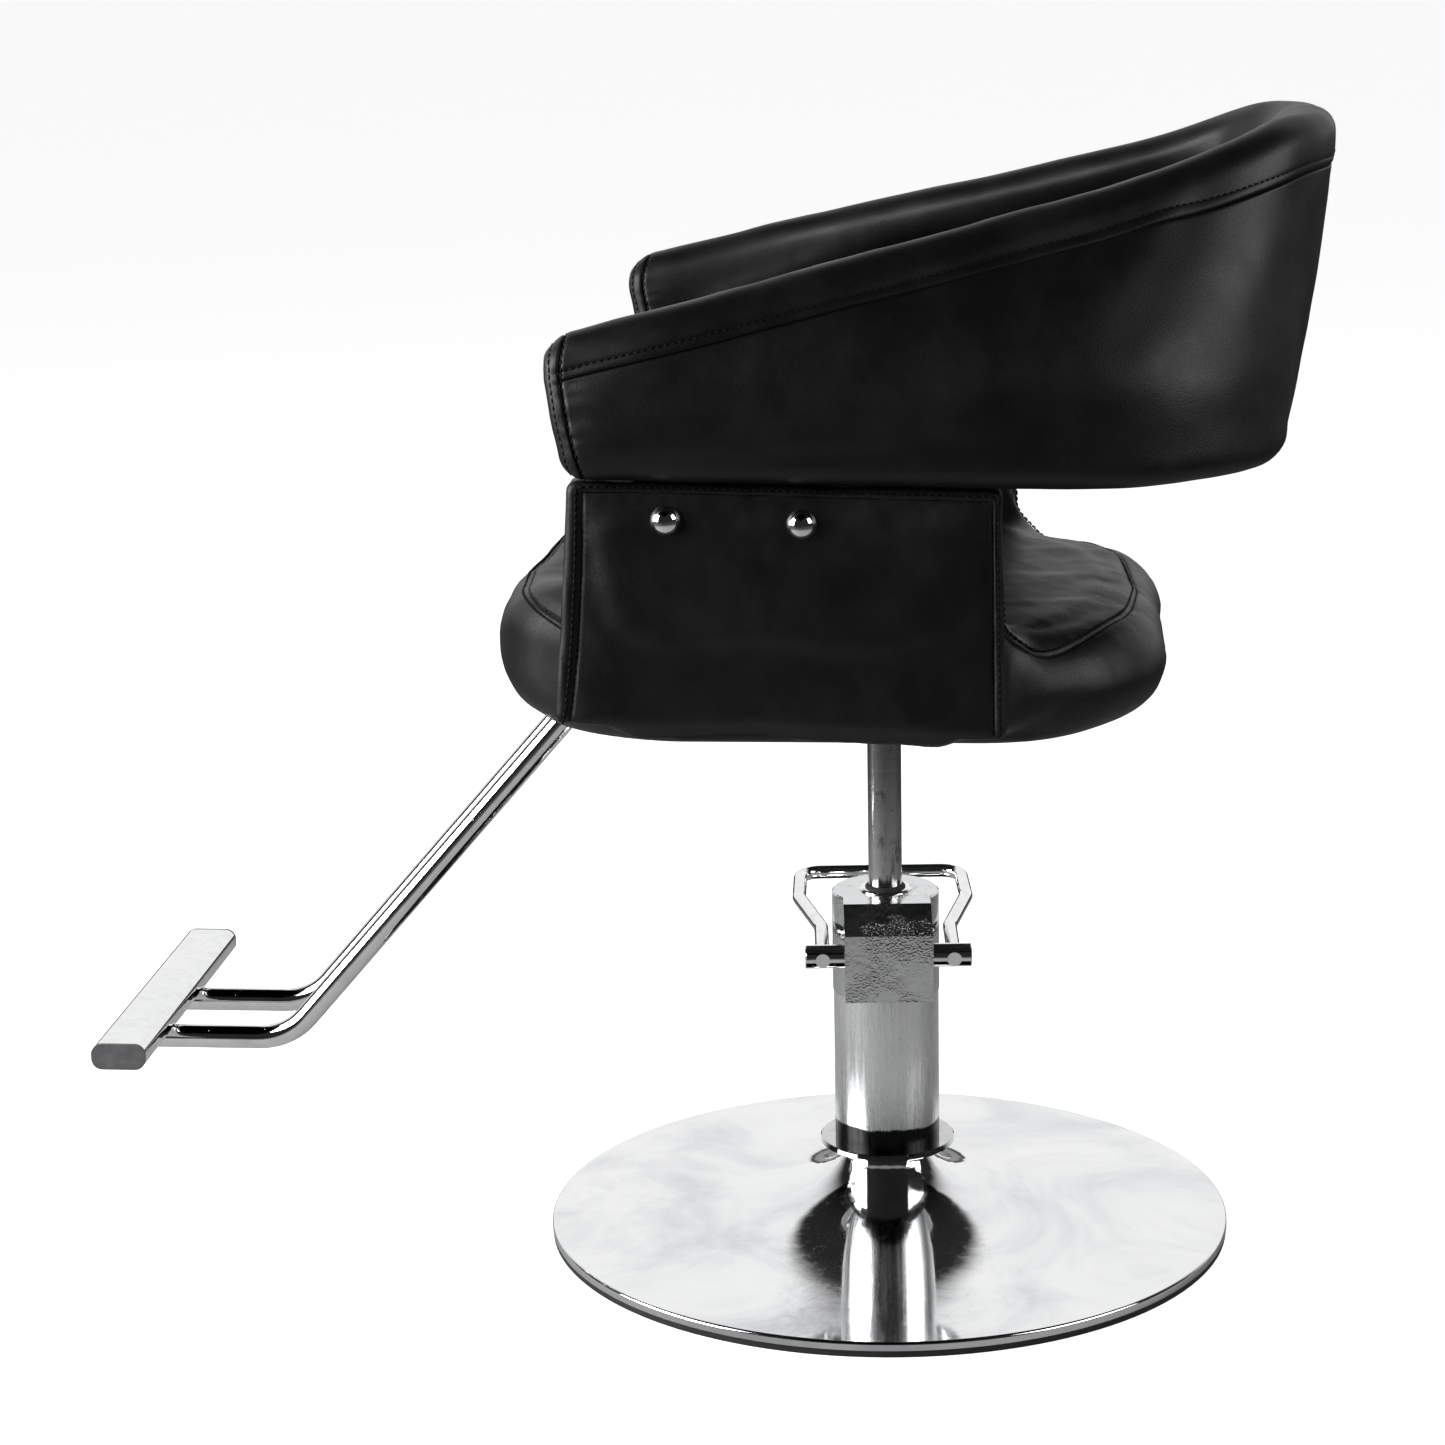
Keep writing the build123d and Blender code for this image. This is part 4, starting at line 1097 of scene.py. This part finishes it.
    def build(self, leather: bpy.types.Material) -> tuple[bpy.types.Object, list[Row]]:
        """Makes the padded strip and the lines its thread follows.

        Args:
            leather: The cover's material.

        Returns:
            The piece, and each thread row's points and outward directions.
        """
        grid = self.surface()
        count, ring = grid.shape[:2]
        share, inset = (np.concatenate([half[::-1], half[1:]]) for half in self.stations())
        normal = unit(np.cross(np.gradient(grid, axis=0), np.roll(grid, -1, axis=1) - np.roll(grid, 1, axis=1)))
        centre = grid.mean(axis=1, keepdims=True)
        normal *= np.sign(((grid - centre) * normal).sum(axis=(1, 2)))[:, None, None]
        flat = grid.reshape(-1, 3)
        from_seam = np.tile(self.section().above_seam(), count)
        end_gap = np.repeat((1 - share) * self.run - self.end_round, ring)
        turn = np.repeat(inset, ring)
        arc = self.end_round * np.arccos(np.clip(1 - turn / self.end_round, 0, 1))
        past_end = np.where(turn > 0, -arc, np.maximum(end_gap, 0))
        on_face = (from_seam < 1) & (end_gap > -1e-6)
        push = self.swelling(flat, from_seam, past_end, on_face)
        points = flat + normal.reshape(-1, 3) * push[:, None]
        piece = mesh_object("back_band", points, self.faces(count, ring))
        face_outwards(piece)
        near_rim = np.where(on_face, np.abs(from_seam), OFF_SEAM)
        put_attribute(piece, "seam", np.minimum(near_rim, np.abs(past_end)))
        piece.data.materials.append(leather)
        return piece, self.thread_rows(points.reshape(grid.shape), normal, share, inset)

    def thread_rows(self, placed: Array, normals: Array, share: Array, inset: Array) -> list[Row]:
        """Picks the lines that carry thread: along the rim and down each arm's end.

        Args:
            placed: The strip's points.
            normals: Their outward directions.
            share: Each station's share of the way to an arm's front.
            inset: Each station's end rounding.

        Returns:
            Each row's points and outward directions.
        """
        column = int(np.argmin(np.abs(self.section().above_seam() - self.rim_thread)))
        keep = share < 1 - (self.end_round + self.end_thread_gap) / self.run
        rows = [(placed[keep, column], normals[keep, column])]
        round_arm = slice(3, placed.shape[1] - 3)
        turn_at = self.end_round * (1 - math.cos(self.end_thread / self.end_round))
        middle = len(inset) // 2
        for first, half, back in ((0, inset[:middle], 1), (middle, inset[middle:], -1)):
            straight = np.where(half == 0)[0]
            on_end = first + int(np.argmin(np.abs(half - turn_at)))
            beside = first + straight[0 if back > 0 else -1] + 2 * back
            rows += [(placed[at, round_arm], normals[at, round_arm]) for at in (on_end, beside)]
        return rows


def face_outwards(piece: bpy.types.Object) -> None:
    """Turns a closed piece's faces outwards.

    Args:
        piece: The piece.
    """
    work = bmesh.new()
    work.from_mesh(piece.data)
    bmesh.ops.recalc_face_normals(work, faces=work.faces)
    if work.calc_volume(signed=True) < 0:
        bmesh.ops.reverse_faces(work, faces=work.faces)
    work.to_mesh(piece.data)
    work.free()


# ---------------------------------------------------------------- saddle seat
def round_union(a: Array, b: Array, blend: Array | float) -> Array:
    """Joins two solids' distances with a fillet.

    Args:
        a: Distances to the first.
        b: Distances to the second.
        blend: The fillet's reach.

    Returns:
        Distances to both together.
    """
    h = np.clip(blend - np.abs(a - b), 0, None) / blend
    return np.minimum(a, b) - h * h * blend / 4


def round_cut(a: Array, b: Array, blend: float) -> Array:
    """Keeps what is in both solids, with a rounded edge."""
    return -round_union(-a, -b, blend)


def round_edge(a: Array, b: Array, radius: Array | float) -> Array:
    """Crosses two distances at a rounded edge of a radius."""
    return np.hypot(np.maximum(a, 0), np.maximum(b, 0)) + np.minimum(np.maximum(a, b), 0) - radius


@dataclass
class SaddleSeat:
    """The seat and its two side wings under one cover: a saddle with sewn panels."""

    half_w: float = 0.250
    front: float = -0.316
    bow: float = 0.48
    rear: float = 0.232
    corner: float = 0.125
    rear_corner: float = 0.150
    low_z: float = 0.4815
    top_z: float = 0.5655
    top_round: float = 0.048
    low_round: float = 0.046
    wing_out: float = 0.285
    wing_round: float = 0.008
    fillet: float = 0.075
    wing_blend: float = 0.016
    front_rise: float = 0.016
    shoulder_rise: float = 0.020
    dish: float = 0.006
    tuck: float = 0.012
    wing_front: float = -0.2365
    wing_lean: float = 0.0155
    wing_rear: float = 0.1085
    wing_top: float = 0.6975
    wing_low: float = 0.5005
    wing_notch: float = 0.0110
    grid: float = 0.005
    even_rounds: int = 6
    seam_points: int = 200
    seam_rounds: int = 240
    thread_away: float = 0.0048

    def cushion(self, p: Array) -> Array:
        """Gives distances to the cushion alone.

        Args:
            p: Where to measure from.

        Returns:
            The distances, negative inside.
        """
        x, y, z = p[:, 0], p[:, 1], p[:, 2]
        mid = (self.front + self.rear) / 2
        length = (self.rear - self.front) / 2
        corner = np.where(y < mid, self.corner, self.rear_corner)
        plan_x = np.abs(x) - (self.half_w - corner)
        bowed = np.where(y < mid, x**2 / (2 * self.bow), 0.0)
        plan_y = np.abs(y - mid) + bowed - (length - corner)
        plan = round_edge(plan_x, plan_y, corner)
        ahead = smooth_step(-0.05, -0.24, y)
        top = self.top_z + ahead * (self.front_rise + self.shoulder_rise * smooth_step(0.04, 0.2, np.abs(x)))
        top -= self.dish * np.exp(-((x / 0.13) ** 2 + ((y + 0.03) / 0.17) ** 2))
        half = (top - self.low_z) / 2
        up = z - self.low_z - half
        beside = smooth_step(0.15, 0.20, np.abs(x)) * smooth_step(-0.30, -0.22, y) * smooth_step(0.20, 0.12, y)
        edge = np.where(up > 0, self.top_round, self.low_round - self.tuck * beside)
        return round_edge(plan + edge, np.abs(up) - half + edge, edge)

    def wing(self, p: Array) -> Array:
        """Gives distances to the two wings.

        Args:
            p: Where to measure from.

        Returns:
            The distances, negative inside.
        """
        x, y, z = np.abs(p[:, 0]), p[:, 1], p[:, 2]
        front = self.wing_front + self.wing_lean * np.clip((z - 0.510) / 0.187, -0.3, 1)
        rear = self.wing_rear - 0.0035 * smooth_step(0.50, 0.70, z)
        top = self.wing_top - 0.0078 * smooth_step(-0.26, 0.14, y)
        under = smooth_step(0.282, 0.271, x) * smooth_step(-0.205, -0.170, y) * smooth_step(0.085, 0.050, y)
        low = self.wing_low + 0.0080 * smooth_step(0.10, -0.10, y) + 0.0012 * np.sin(y * 52)
        low -= self.wing_notch * under
        r = self.wing_round
        across = np.maximum(x - self.wing_out, self.half_w - x) + r
        along = np.maximum(front - y, y - rear) + r
        upright = np.maximum(z - top, low - z) + r
        outside = np.sqrt(sum(np.maximum(gap, 0) ** 2 for gap in (across, along, upright)))
        return outside + np.minimum(np.maximum(np.maximum(across, along), upright), 0) - r

    def distance(self, p: Array) -> Array:
        """Gives distances to the whole seat.

        Args:
            p: Where to measure from.

        Returns:
            The distances, negative inside.
        """
        x = np.abs(p[:, 0])
        inside = smooth_step(0.272, 0.240, x)
        blend = self.wing_blend + (self.fillet - self.wing_blend) * inside * smooth_step(0.485, 0.53, p[:, 2])
        both = round_union(self.cushion(p), self.wing(p), blend)
        return round_cut(both, x - self.wing_out, 0.006)

    def gradient(self, p: Array) -> Array:
        """Gives the outward direction and steepness of the distance.

        Args:
            p: Where to take it.

        Returns:
            One vector a point.
        """
        step = 0.0004
        g = np.zeros_like(p)
        for i in range(3):
            move = np.zeros(3)
            move[i] = step
            g[:, i] = (self.distance(p + move) - self.distance(p - move)) / (2 * step)
        return g

    def settle(self, p: Array, rounds: int = 3) -> Array:
        """Moves points onto the seat's surface.

        Args:
            p: The points.
            rounds: How many times they are moved.

        Returns:
            The moved points.
        """
        for _ in range(rounds):
            g = self.gradient(p)
            p = p - g * (self.distance(p) / np.maximum((g * g).sum(axis=1), 0.05))[:, None]
        return p

    def skin(self) -> tuple[Array, Array]:
        """Wraps the seat in even quads by surface nets.

        Returns:
            The points on the surface and the quads.
        """
        h = self.grid
        low = np.array([-self.wing_out - 3 * h, self.front - 3 * h, self.low_z - 3 * h])
        high = np.array([self.wing_out + 3 * h, self.rear + 3 * h, 0.70 + 3 * h])  # a little over the wings
        n = np.ceil((high - low) / h).astype(int) + 1
        axes = [low[i] + h * np.arange(n[i]) for i in range(3)]
        mesh = np.stack(np.meshgrid(*axes, indexing="ij"), axis=-1)
        value = self.distance(mesh.reshape(-1, 3)).reshape(n)
        total, hits = np.zeros((*(n - 1), 3)), np.zeros(n - 1)
        for axis in range(3):
            others = [a for a in range(3) if a != axis]
            for corner in range(4):
                shift = np.zeros(3, int)
                shift[others[0]], shift[others[1]] = corner & 1, corner >> 1
                ahead = shift.copy()
                ahead[axis] += 1
                near, far = (value[tuple(slice(s, k - 1 + s) for s, k in zip(by, n))] for by in (shift, ahead))
                cross = (near < 0) != (far < 0)
                t = np.where(cross, near / np.where(cross, near - far, 1), 0)
                offset = np.broadcast_to(shift.astype(float), (*cross.shape, 3)).copy()
                offset[..., axis] += t
                total += np.where(cross[..., None], offset, 0)
                hits += cross
        cells = np.argwhere(hits > 0)
        number = -np.ones(n - 1, int)
        number[tuple(cells.T)] = np.arange(len(cells))
        points = low + h * (cells + total[tuple(cells.T)] / hits[tuple(cells.T)][:, None])
        quads = []
        for axis in range(3):
            u, v = (axis + 1) % 3, (axis + 2) % 3
            inner = [slice(1, k - 1) for k in n]
            cuts = slice(0, n[axis] - 1), slice(1, n[axis])
            a, b = (value[(*inner[:axis], cut, *inner[axis + 1 :])] for cut in cuts)
            at = np.argwhere((a < 0) != (b < 0))
            falling = (a < 0)[tuple(at.T)]
            at[:, u] += 1
            at[:, v] += 1
            corners = []
            for du, dv in ((-1, -1), (0, -1), (0, 0), (-1, 0)):
                c = at.copy()
                c[:, u] += du
                c[:, v] += dv
                corners.append(number[tuple(c.T)])
            quad = np.stack(corners, axis=1)
            quads.append(np.where(falling[:, None], quad, quad[:, ::-1]))
        return self.settle(points), np.vstack(quads)

    def even_out(self, points: Array, quads: Array, rounds: int) -> Array:
        """Slides points along the surface until they are evenly spread.

        Args:
            points: The points.
            quads: The faces between them.
            rounds: How many times they are moved.

        Returns:
            The moved points.
        """
        pairs = np.vstack([quads[:, [i, (i + 1) % 4]] for i in range(4)])
        for _ in range(rounds):
            total, count = np.zeros_like(points), np.zeros(len(points))
            for a, b in ((0, 1), (1, 0)):
                np.add.at(total, pairs[:, a], points[pairs[:, b]])
                np.add.at(count, pairs[:, a], 1)
            points = self.settle(points + 0.6 * (total / count[:, None] - points), 1)
        return self.settle(points, 2)

    def seams(self) -> dict[str, Array]:
        """Gives the sewn lines on the left half and across, laid on the surface.

        Returns:
            The lines by name; a mirrored twin is added for each side line.
        """
        wing = {
            "panel_front": [(-0.2235, 0.505), (-0.2165, 0.56), (-0.211, 0.63), (-0.2085, 0.689)],
            "panel_top": [(-0.2085, 0.689), (-0.15, 0.6885), (-0.02, 0.6845), (0.06, 0.6825), (0.098, 0.681)],
            "panel_rear": [(0.0985, 0.681), (0.0985, 0.60), (0.099, 0.503)],
        }
        lines = {name: [(self.wing_out, y, z) for y, z in line] for name, line in wing.items()}
        lines["rear_sweep"] = [
            (0.270, 0.110, 0.600), (0.262, 0.118, 0.575), (0.248, 0.131, 0.560), (0.225, 0.147, 0.554),
            (0.190, 0.166, 0.555), (0.150, 0.186, 0.559), (0.100, 0.203, 0.562), (0.0, 0.215, 0.563),
        ]
        lines["front_sweep"] = [
            (0.260, -0.238, 0.550), (0.250, -0.243, 0.565), (0.225, -0.250, 0.578), (0.200, -0.255, 0.58),
            (0.100, -0.281, 0.58), (0.0, -0.292, 0.575),
        ]
        made = {}
        for name, line in lines.items():
            left = self.settle(evenly(path_through(line, 160), self.seam_points), 6)
            for _ in range(self.seam_rounds):
                left[1:-1] = (left[:-2] + 2 * left[1:-1] + left[2:]) / 4
            left = self.settle(evenly(left, self.seam_points), 3)
            if name.endswith("sweep"):
                made[name] = np.vstack([left, left[-2::-1] * (-1, 1, 1)])
            else:
                made[name + "_left"] = left
                made[name + "_right"] = left * (-1, 1, 1)
        return made

    def refine(self, piece: bpy.types.Object, lines: Sequence[Array]) -> None:
        """Divides the faces near the seams, twice as finely and then again closer in.

        Args:
            piece: The seat.
            lines: Its seams.
        """
        for reach in (0.011, 0.006):
            close = nearest(read_vectors(piece.data), lines) < reach
            work = bmesh.new()
            work.from_mesh(piece.data)
            edges = [e for e in work.edges if close[e.verts[0].index] and close[e.verts[1].index]]
            bmesh.ops.subdivide_edges(work, edges=edges, cuts=1, use_grid_fill=True)
            work.to_mesh(piece.data)
            work.free()
            move_points(piece, self.settle(read_vectors(piece.data), 2))

    def build(self, leather: bpy.types.Material) -> tuple[bpy.types.Object, list[Row]]:
        """Makes the padded seat and the lines its thread follows.

        Args:
            leather: The cover's material.

        Returns:
            The piece, and each thread row's points and outward directions.
        """
        points, quads = self.skin()
        piece = mesh_object("saddle_seat", self.even_out(points, quads, self.even_rounds), quads)
        lines = list(self.seams().values())
        self.refine(piece, lines)
        points = read_vectors(piece.data)
        gap = nearest(points, lines)
        push = 0.0012 * waves(points, 0.15, 21) + 0.0005 * waves(points, 0.05, 5)
        push *= smooth_step(self.low_z + 0.001, self.low_z + 0.02, points[:, 2])
        push -= 0.0015 * dip(gap, 0.0014) + 0.0012 * dip(gap, 0.008)
        move_points(piece, points + unit(self.gradient(points)) * push[:, None])
        face_outwards(piece)
        put_attribute(piece, "seam", gap)
        piece.data.materials.append(leather)
        return piece, [self.thread_row(line) for line in lines]

    def thread_row(self, line: Array) -> Row:
        """Gives a thread row a little to one side of a seam.

        Args:
            line: The seam.

        Returns:
            The row's points and outward directions.
        """
        way = unit(self.gradient(line))
        aside = unit(np.cross(way, unit(np.gradient(line, axis=0))))
        moved = self.settle(line + aside * self.thread_away, 4)
        return moved, unit(self.gradient(moved))


# ---------------------------------------------------------------- padding
@dataclass(frozen=True)
class Puff:
    """Lets a padded piece swell as cloth under pressure, and keeps the unevenness that comes of it."""

    voxel: float = 0.006
    pressure: float = 4.0
    frames: int = 20
    cap: float = 0.0030
    share: float = 0.7
    sink: float = 0.3
    neighbours: int = 8
    spread: float = 0.003
    hold: float = 0.03

    def field(self, piece: bpy.types.Object) -> Callable[[Array], Array]:
        """Runs the cloth on a remeshed copy.

        Args:
            piece: The padded piece.

        Returns:
            A function that gives how far each of some points moves.
        """
        copy = piece.copy()
        copy.data = piece.data.copy()
        bpy.context.scene.collection.objects.link(copy)
        remesh = copy.modifiers.new("even", "REMESH")
        remesh.mode, remesh.voxel_size = "VOXEL", self.voxel
        bpy.context.view_layer.update()
        even = finished_mesh(copy)
        copy.modifiers.clear()
        copy.data = even
        rest, ways = read_vectors(even), read_vectors(even, "normal")
        cloth = copy.modifiers.new("cloth", "CLOTH")
        cloth.settings.use_pressure = True
        cloth.settings.uniform_pressure_force = self.pressure
        cloth.settings.effector_weights.gravity = 0.0
        cloth.settings.quality = 4
        cloth.point_cache.frame_start, cloth.point_cache.frame_end = 1, self.frames
        for number in range(1, self.frames + 1):
            bpy.context.scene.frame_set(number)
        out = ((read_vectors(finished_mesh(copy)) - rest) * ways).sum(axis=1)
        out = np.clip((out - out.mean()) * self.share, -self.cap * self.sink, self.cap)
        copy.modifiers.clear()
        bpy.data.objects.remove(copy)
        bpy.context.scene.frame_set(1)
        log.info("%s: cloth moved its cover by %.1f to %.1f mm", piece.name, out.min() / MM, out.max() / MM)
        tree = point_tree(rest)

        def moved(points: Array) -> Array:
            """Gives the movement at each point from the nearest few cloth points.

            Args:
                points: The points.

            Returns:
                Their movement.
            """
            result = np.zeros_like(points)
            for i, p in enumerate(points):
                near = tree.find_n(p, self.neighbours)
                weight = np.array([1 / (n[2] + self.spread) ** 2 for n in near])
                index = [n[1] for n in near]
                result[i] = (weight[:, None] * ways[index] * out[index, None]).sum(axis=0) / weight.sum()
            return result

        return moved

    def swell(self, piece: bpy.types.Object, rows: list[Row], low: float) -> list[Row]:
        """Moves a piece and its thread rows with the cloth, but not what it rests on.

        Args:
            piece: The padded piece.
            rows: Its thread rows.
            low: Height below which it rests and stays.

        Returns:
            The moved thread rows.
        """
        field = self.field(piece)

        def settled(points: Array) -> Array:
            """Gives where some points end up."""
            return points + field(points) * smooth_step(low, low + self.hold, points[:, 2])[:, None]

        move_points(piece, settled(read_vectors(piece.data)))
        return [(settled(line), way) for line, way in rows]


# ---------------------------------------------------------------- studio
@dataclass
class Studio:
    """Pale floor, soft lights and the camera."""

    lens: float = 87.505
    eye: tuple[float, float, float] = (2.85, 0.16177, 1.14703)
    yaw: float = 0.10399
    pitch: float = 0.24101
    roll: float = -0.01981
    wall: tuple[float, float, float, float] = (-0.80, -0.40, 0.95, 0.02)
    canopy_aside: tuple[float, float] = (0.056, 0.6)
    canopy: tuple[float, float, float, float] = (0.495, 0.530, 1.0, 0.02)
    floor_side: float = 40.0
    floor_near: Color = (0.38, 0.38, 0.38)
    floor_far: Color = (0.05, 0.05, 0.05)
    floor_seen: Color = (0.80, 0.80, 0.80)
    floor_glow: tuple[float, float] = (0.02, 0.86)
    aim: tuple[float, float, float] = (0, 0, 0.55)

    def camera(self) -> None:
        """Makes the camera and points it."""
        cy, sy, cp, sp = math.cos(self.yaw), math.sin(self.yaw), math.cos(self.pitch), math.sin(self.pitch)
        ahead = Vector((-cy * cp, -sy * cp, -sp))
        right = Vector((-sy, cy, 0))
        up = right.cross(ahead)
        cr, sr = math.cos(self.roll), math.sin(self.roll)
        across, over = cr * right + sr * up, -sr * right + cr * up
        data = bpy.data.cameras.new("camera")
        data.lens, data.sensor_width = self.lens, 36.0
        data.clip_start, data.clip_end = 0.05, 200.0
        camera = put_in_scene("camera", data)
        camera.matrix_world = Matrix((
            (across[0], over[0], -ahead[0], self.eye[0]),
            (across[1], over[1], -ahead[1], self.eye[1]),
            (across[2], over[2], -ahead[2], self.eye[2]),
            (0, 0, 0, 1),
        ))
        bpy.context.scene.camera = camera

    def floor(self) -> None:
        """Lays a wide pale floor just under the base."""
        side = self.floor_side
        mesh = bpy.data.meshes.new("floor")
        mesh.from_pydata([(-side, -side, 0), (side, -side, 0), (side, side, 0), (-side, side, 0)], [], [(0, 1, 2, 3)])
        floor = put_in_scene("floor", mesh)
        s = Shader("pale_floor")
        seen = s.node("ShaderNodeLightPath").outputs["Is Camera Ray"]
        away = s.node("ShaderNodeVectorMath", {"Vector": s.coords()}, operation="LENGTH")
        sheet = s.mix(s.span(away.outputs["Value"], 0.8, 1.7), self.floor_near, self.floor_far)
        s.set(
            Base_Color=s.mix(seen, sheet, self.floor_seen),
            Roughness=0.9,
            Specular_IOR_Level=0.0,
            Emission_Color=(1.0, 1.0, 1.0),
            Emission_Strength=s.span(seen, 0.0, 1.0, *self.floor_glow),
        )
        mesh.materials.append(s.material)

    def panel(self, name: str, at: Sequence[float], size: tuple[float, float], power: float) -> None:
        """Hangs a soft light that faces the chair.

        Args:
            name: Its name.
            at: Its place.
            size: Its width and height.
            power: Its power in watts.
        """
        data = bpy.data.lights.new(name, "AREA")
        data.shape, data.size, data.size_y, data.energy = "RECTANGLE", size[0], size[1], power
        light = put_in_scene(name, data)
        light.location = at
        light.rotation_euler = (Vector(self.aim) - Vector(at)).to_track_quat("-Z", "Y").to_euler()

    def sky(self) -> None:
        """Surrounds the chair: white on its far side, dark on the near one, with a dark wedge overhead."""
        world = bpy.data.worlds.new("room")
        bpy.context.scene.world = world
        world.use_nodes = True
        nodes = Nodes(world.node_tree)
        toward = nodes.node("ShaderNodeTexCoord").outputs["Generated"]
        way = nodes.node("ShaderNodeSeparateXYZ", {"Vector": toward}).outputs
        wall = nodes.span(way["X"], *self.wall)
        shift, slope = self.canopy_aside
        aside = nodes.math("ABSOLUTE", nodes.math("ADD", way["Y"], shift))
        over = nodes.math("SUBTRACT", way["Z"], nodes.math("MULTIPLY", aside, slope))
        lit = nodes.math("MULTIPLY", wall, nodes.span(over, *self.canopy))
        seen = nodes.node("ShaderNodeLightPath").outputs["Is Camera Ray"]
        back = world.node_tree.nodes["Background"]
        back.inputs["Strength"].default_value = 1.0
        nodes.feed(back.inputs["Color"], nodes.math("MAXIMUM", lit, seen))

    def build(self) -> None:
        """Sets up the whole studio."""
        self.camera()
        self.floor()
        self.sky()
        self.panel("front_box", (0.9, -2.6, 1.4), (2.2, 2.0), 140)
        self.panel("rear_box", (0.9, 2.8, 2.0), (2.2, 1.8), 50)
        bpy.context.scene.view_settings.view_transform = "Standard"


# ---------------------------------------------------------------- the chair
def smooth_more(piece: bpy.types.Object, levels: int) -> None:
    """Adds a subdivision that is the same in every view."""
    modifier = piece.modifiers.new("smooth", "SUBSURF")
    modifier.levels = modifier.render_levels = levels


def main() -> None:
    """Builds the chair's looks in order."""
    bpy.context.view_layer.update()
    finishes = Finishes()
    finishes.dress_frame(frame["nodes"])
    Studio().build()

    band, band_rows = BackBand().build(finishes.leather)
    band_rows = Puff().swell(band, band_rows, low=0.70)
    smooth_more(band, 1)
    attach(band, "seat")
    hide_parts("back_band_pad")
    log.info("%s: %d points", band.name, len(band.data.vertices))

    seat, seat_rows = SaddleSeat().build(finishes.leather)
    seat_rows = Puff().swell(seat, seat_rows, low=0.49)
    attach(seat, "seat")
    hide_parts("seat_cushion", "left_wing_pad", "right_wing_pad")
    log.info("%s: %d points", seat.name, len(seat.data.vertices))

    for name, rows in (("band_stitching", band_rows), ("seat_stitching", seat_rows)):
        thread = Stitching().lay(name, rows, finishes.thread)
        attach(thread, "seat")
        log.info("%s: %d faces", name, len(thread.data.polygons))


if __name__ == "__main__":
    logging.basicConfig(level=logging.INFO)
    main()
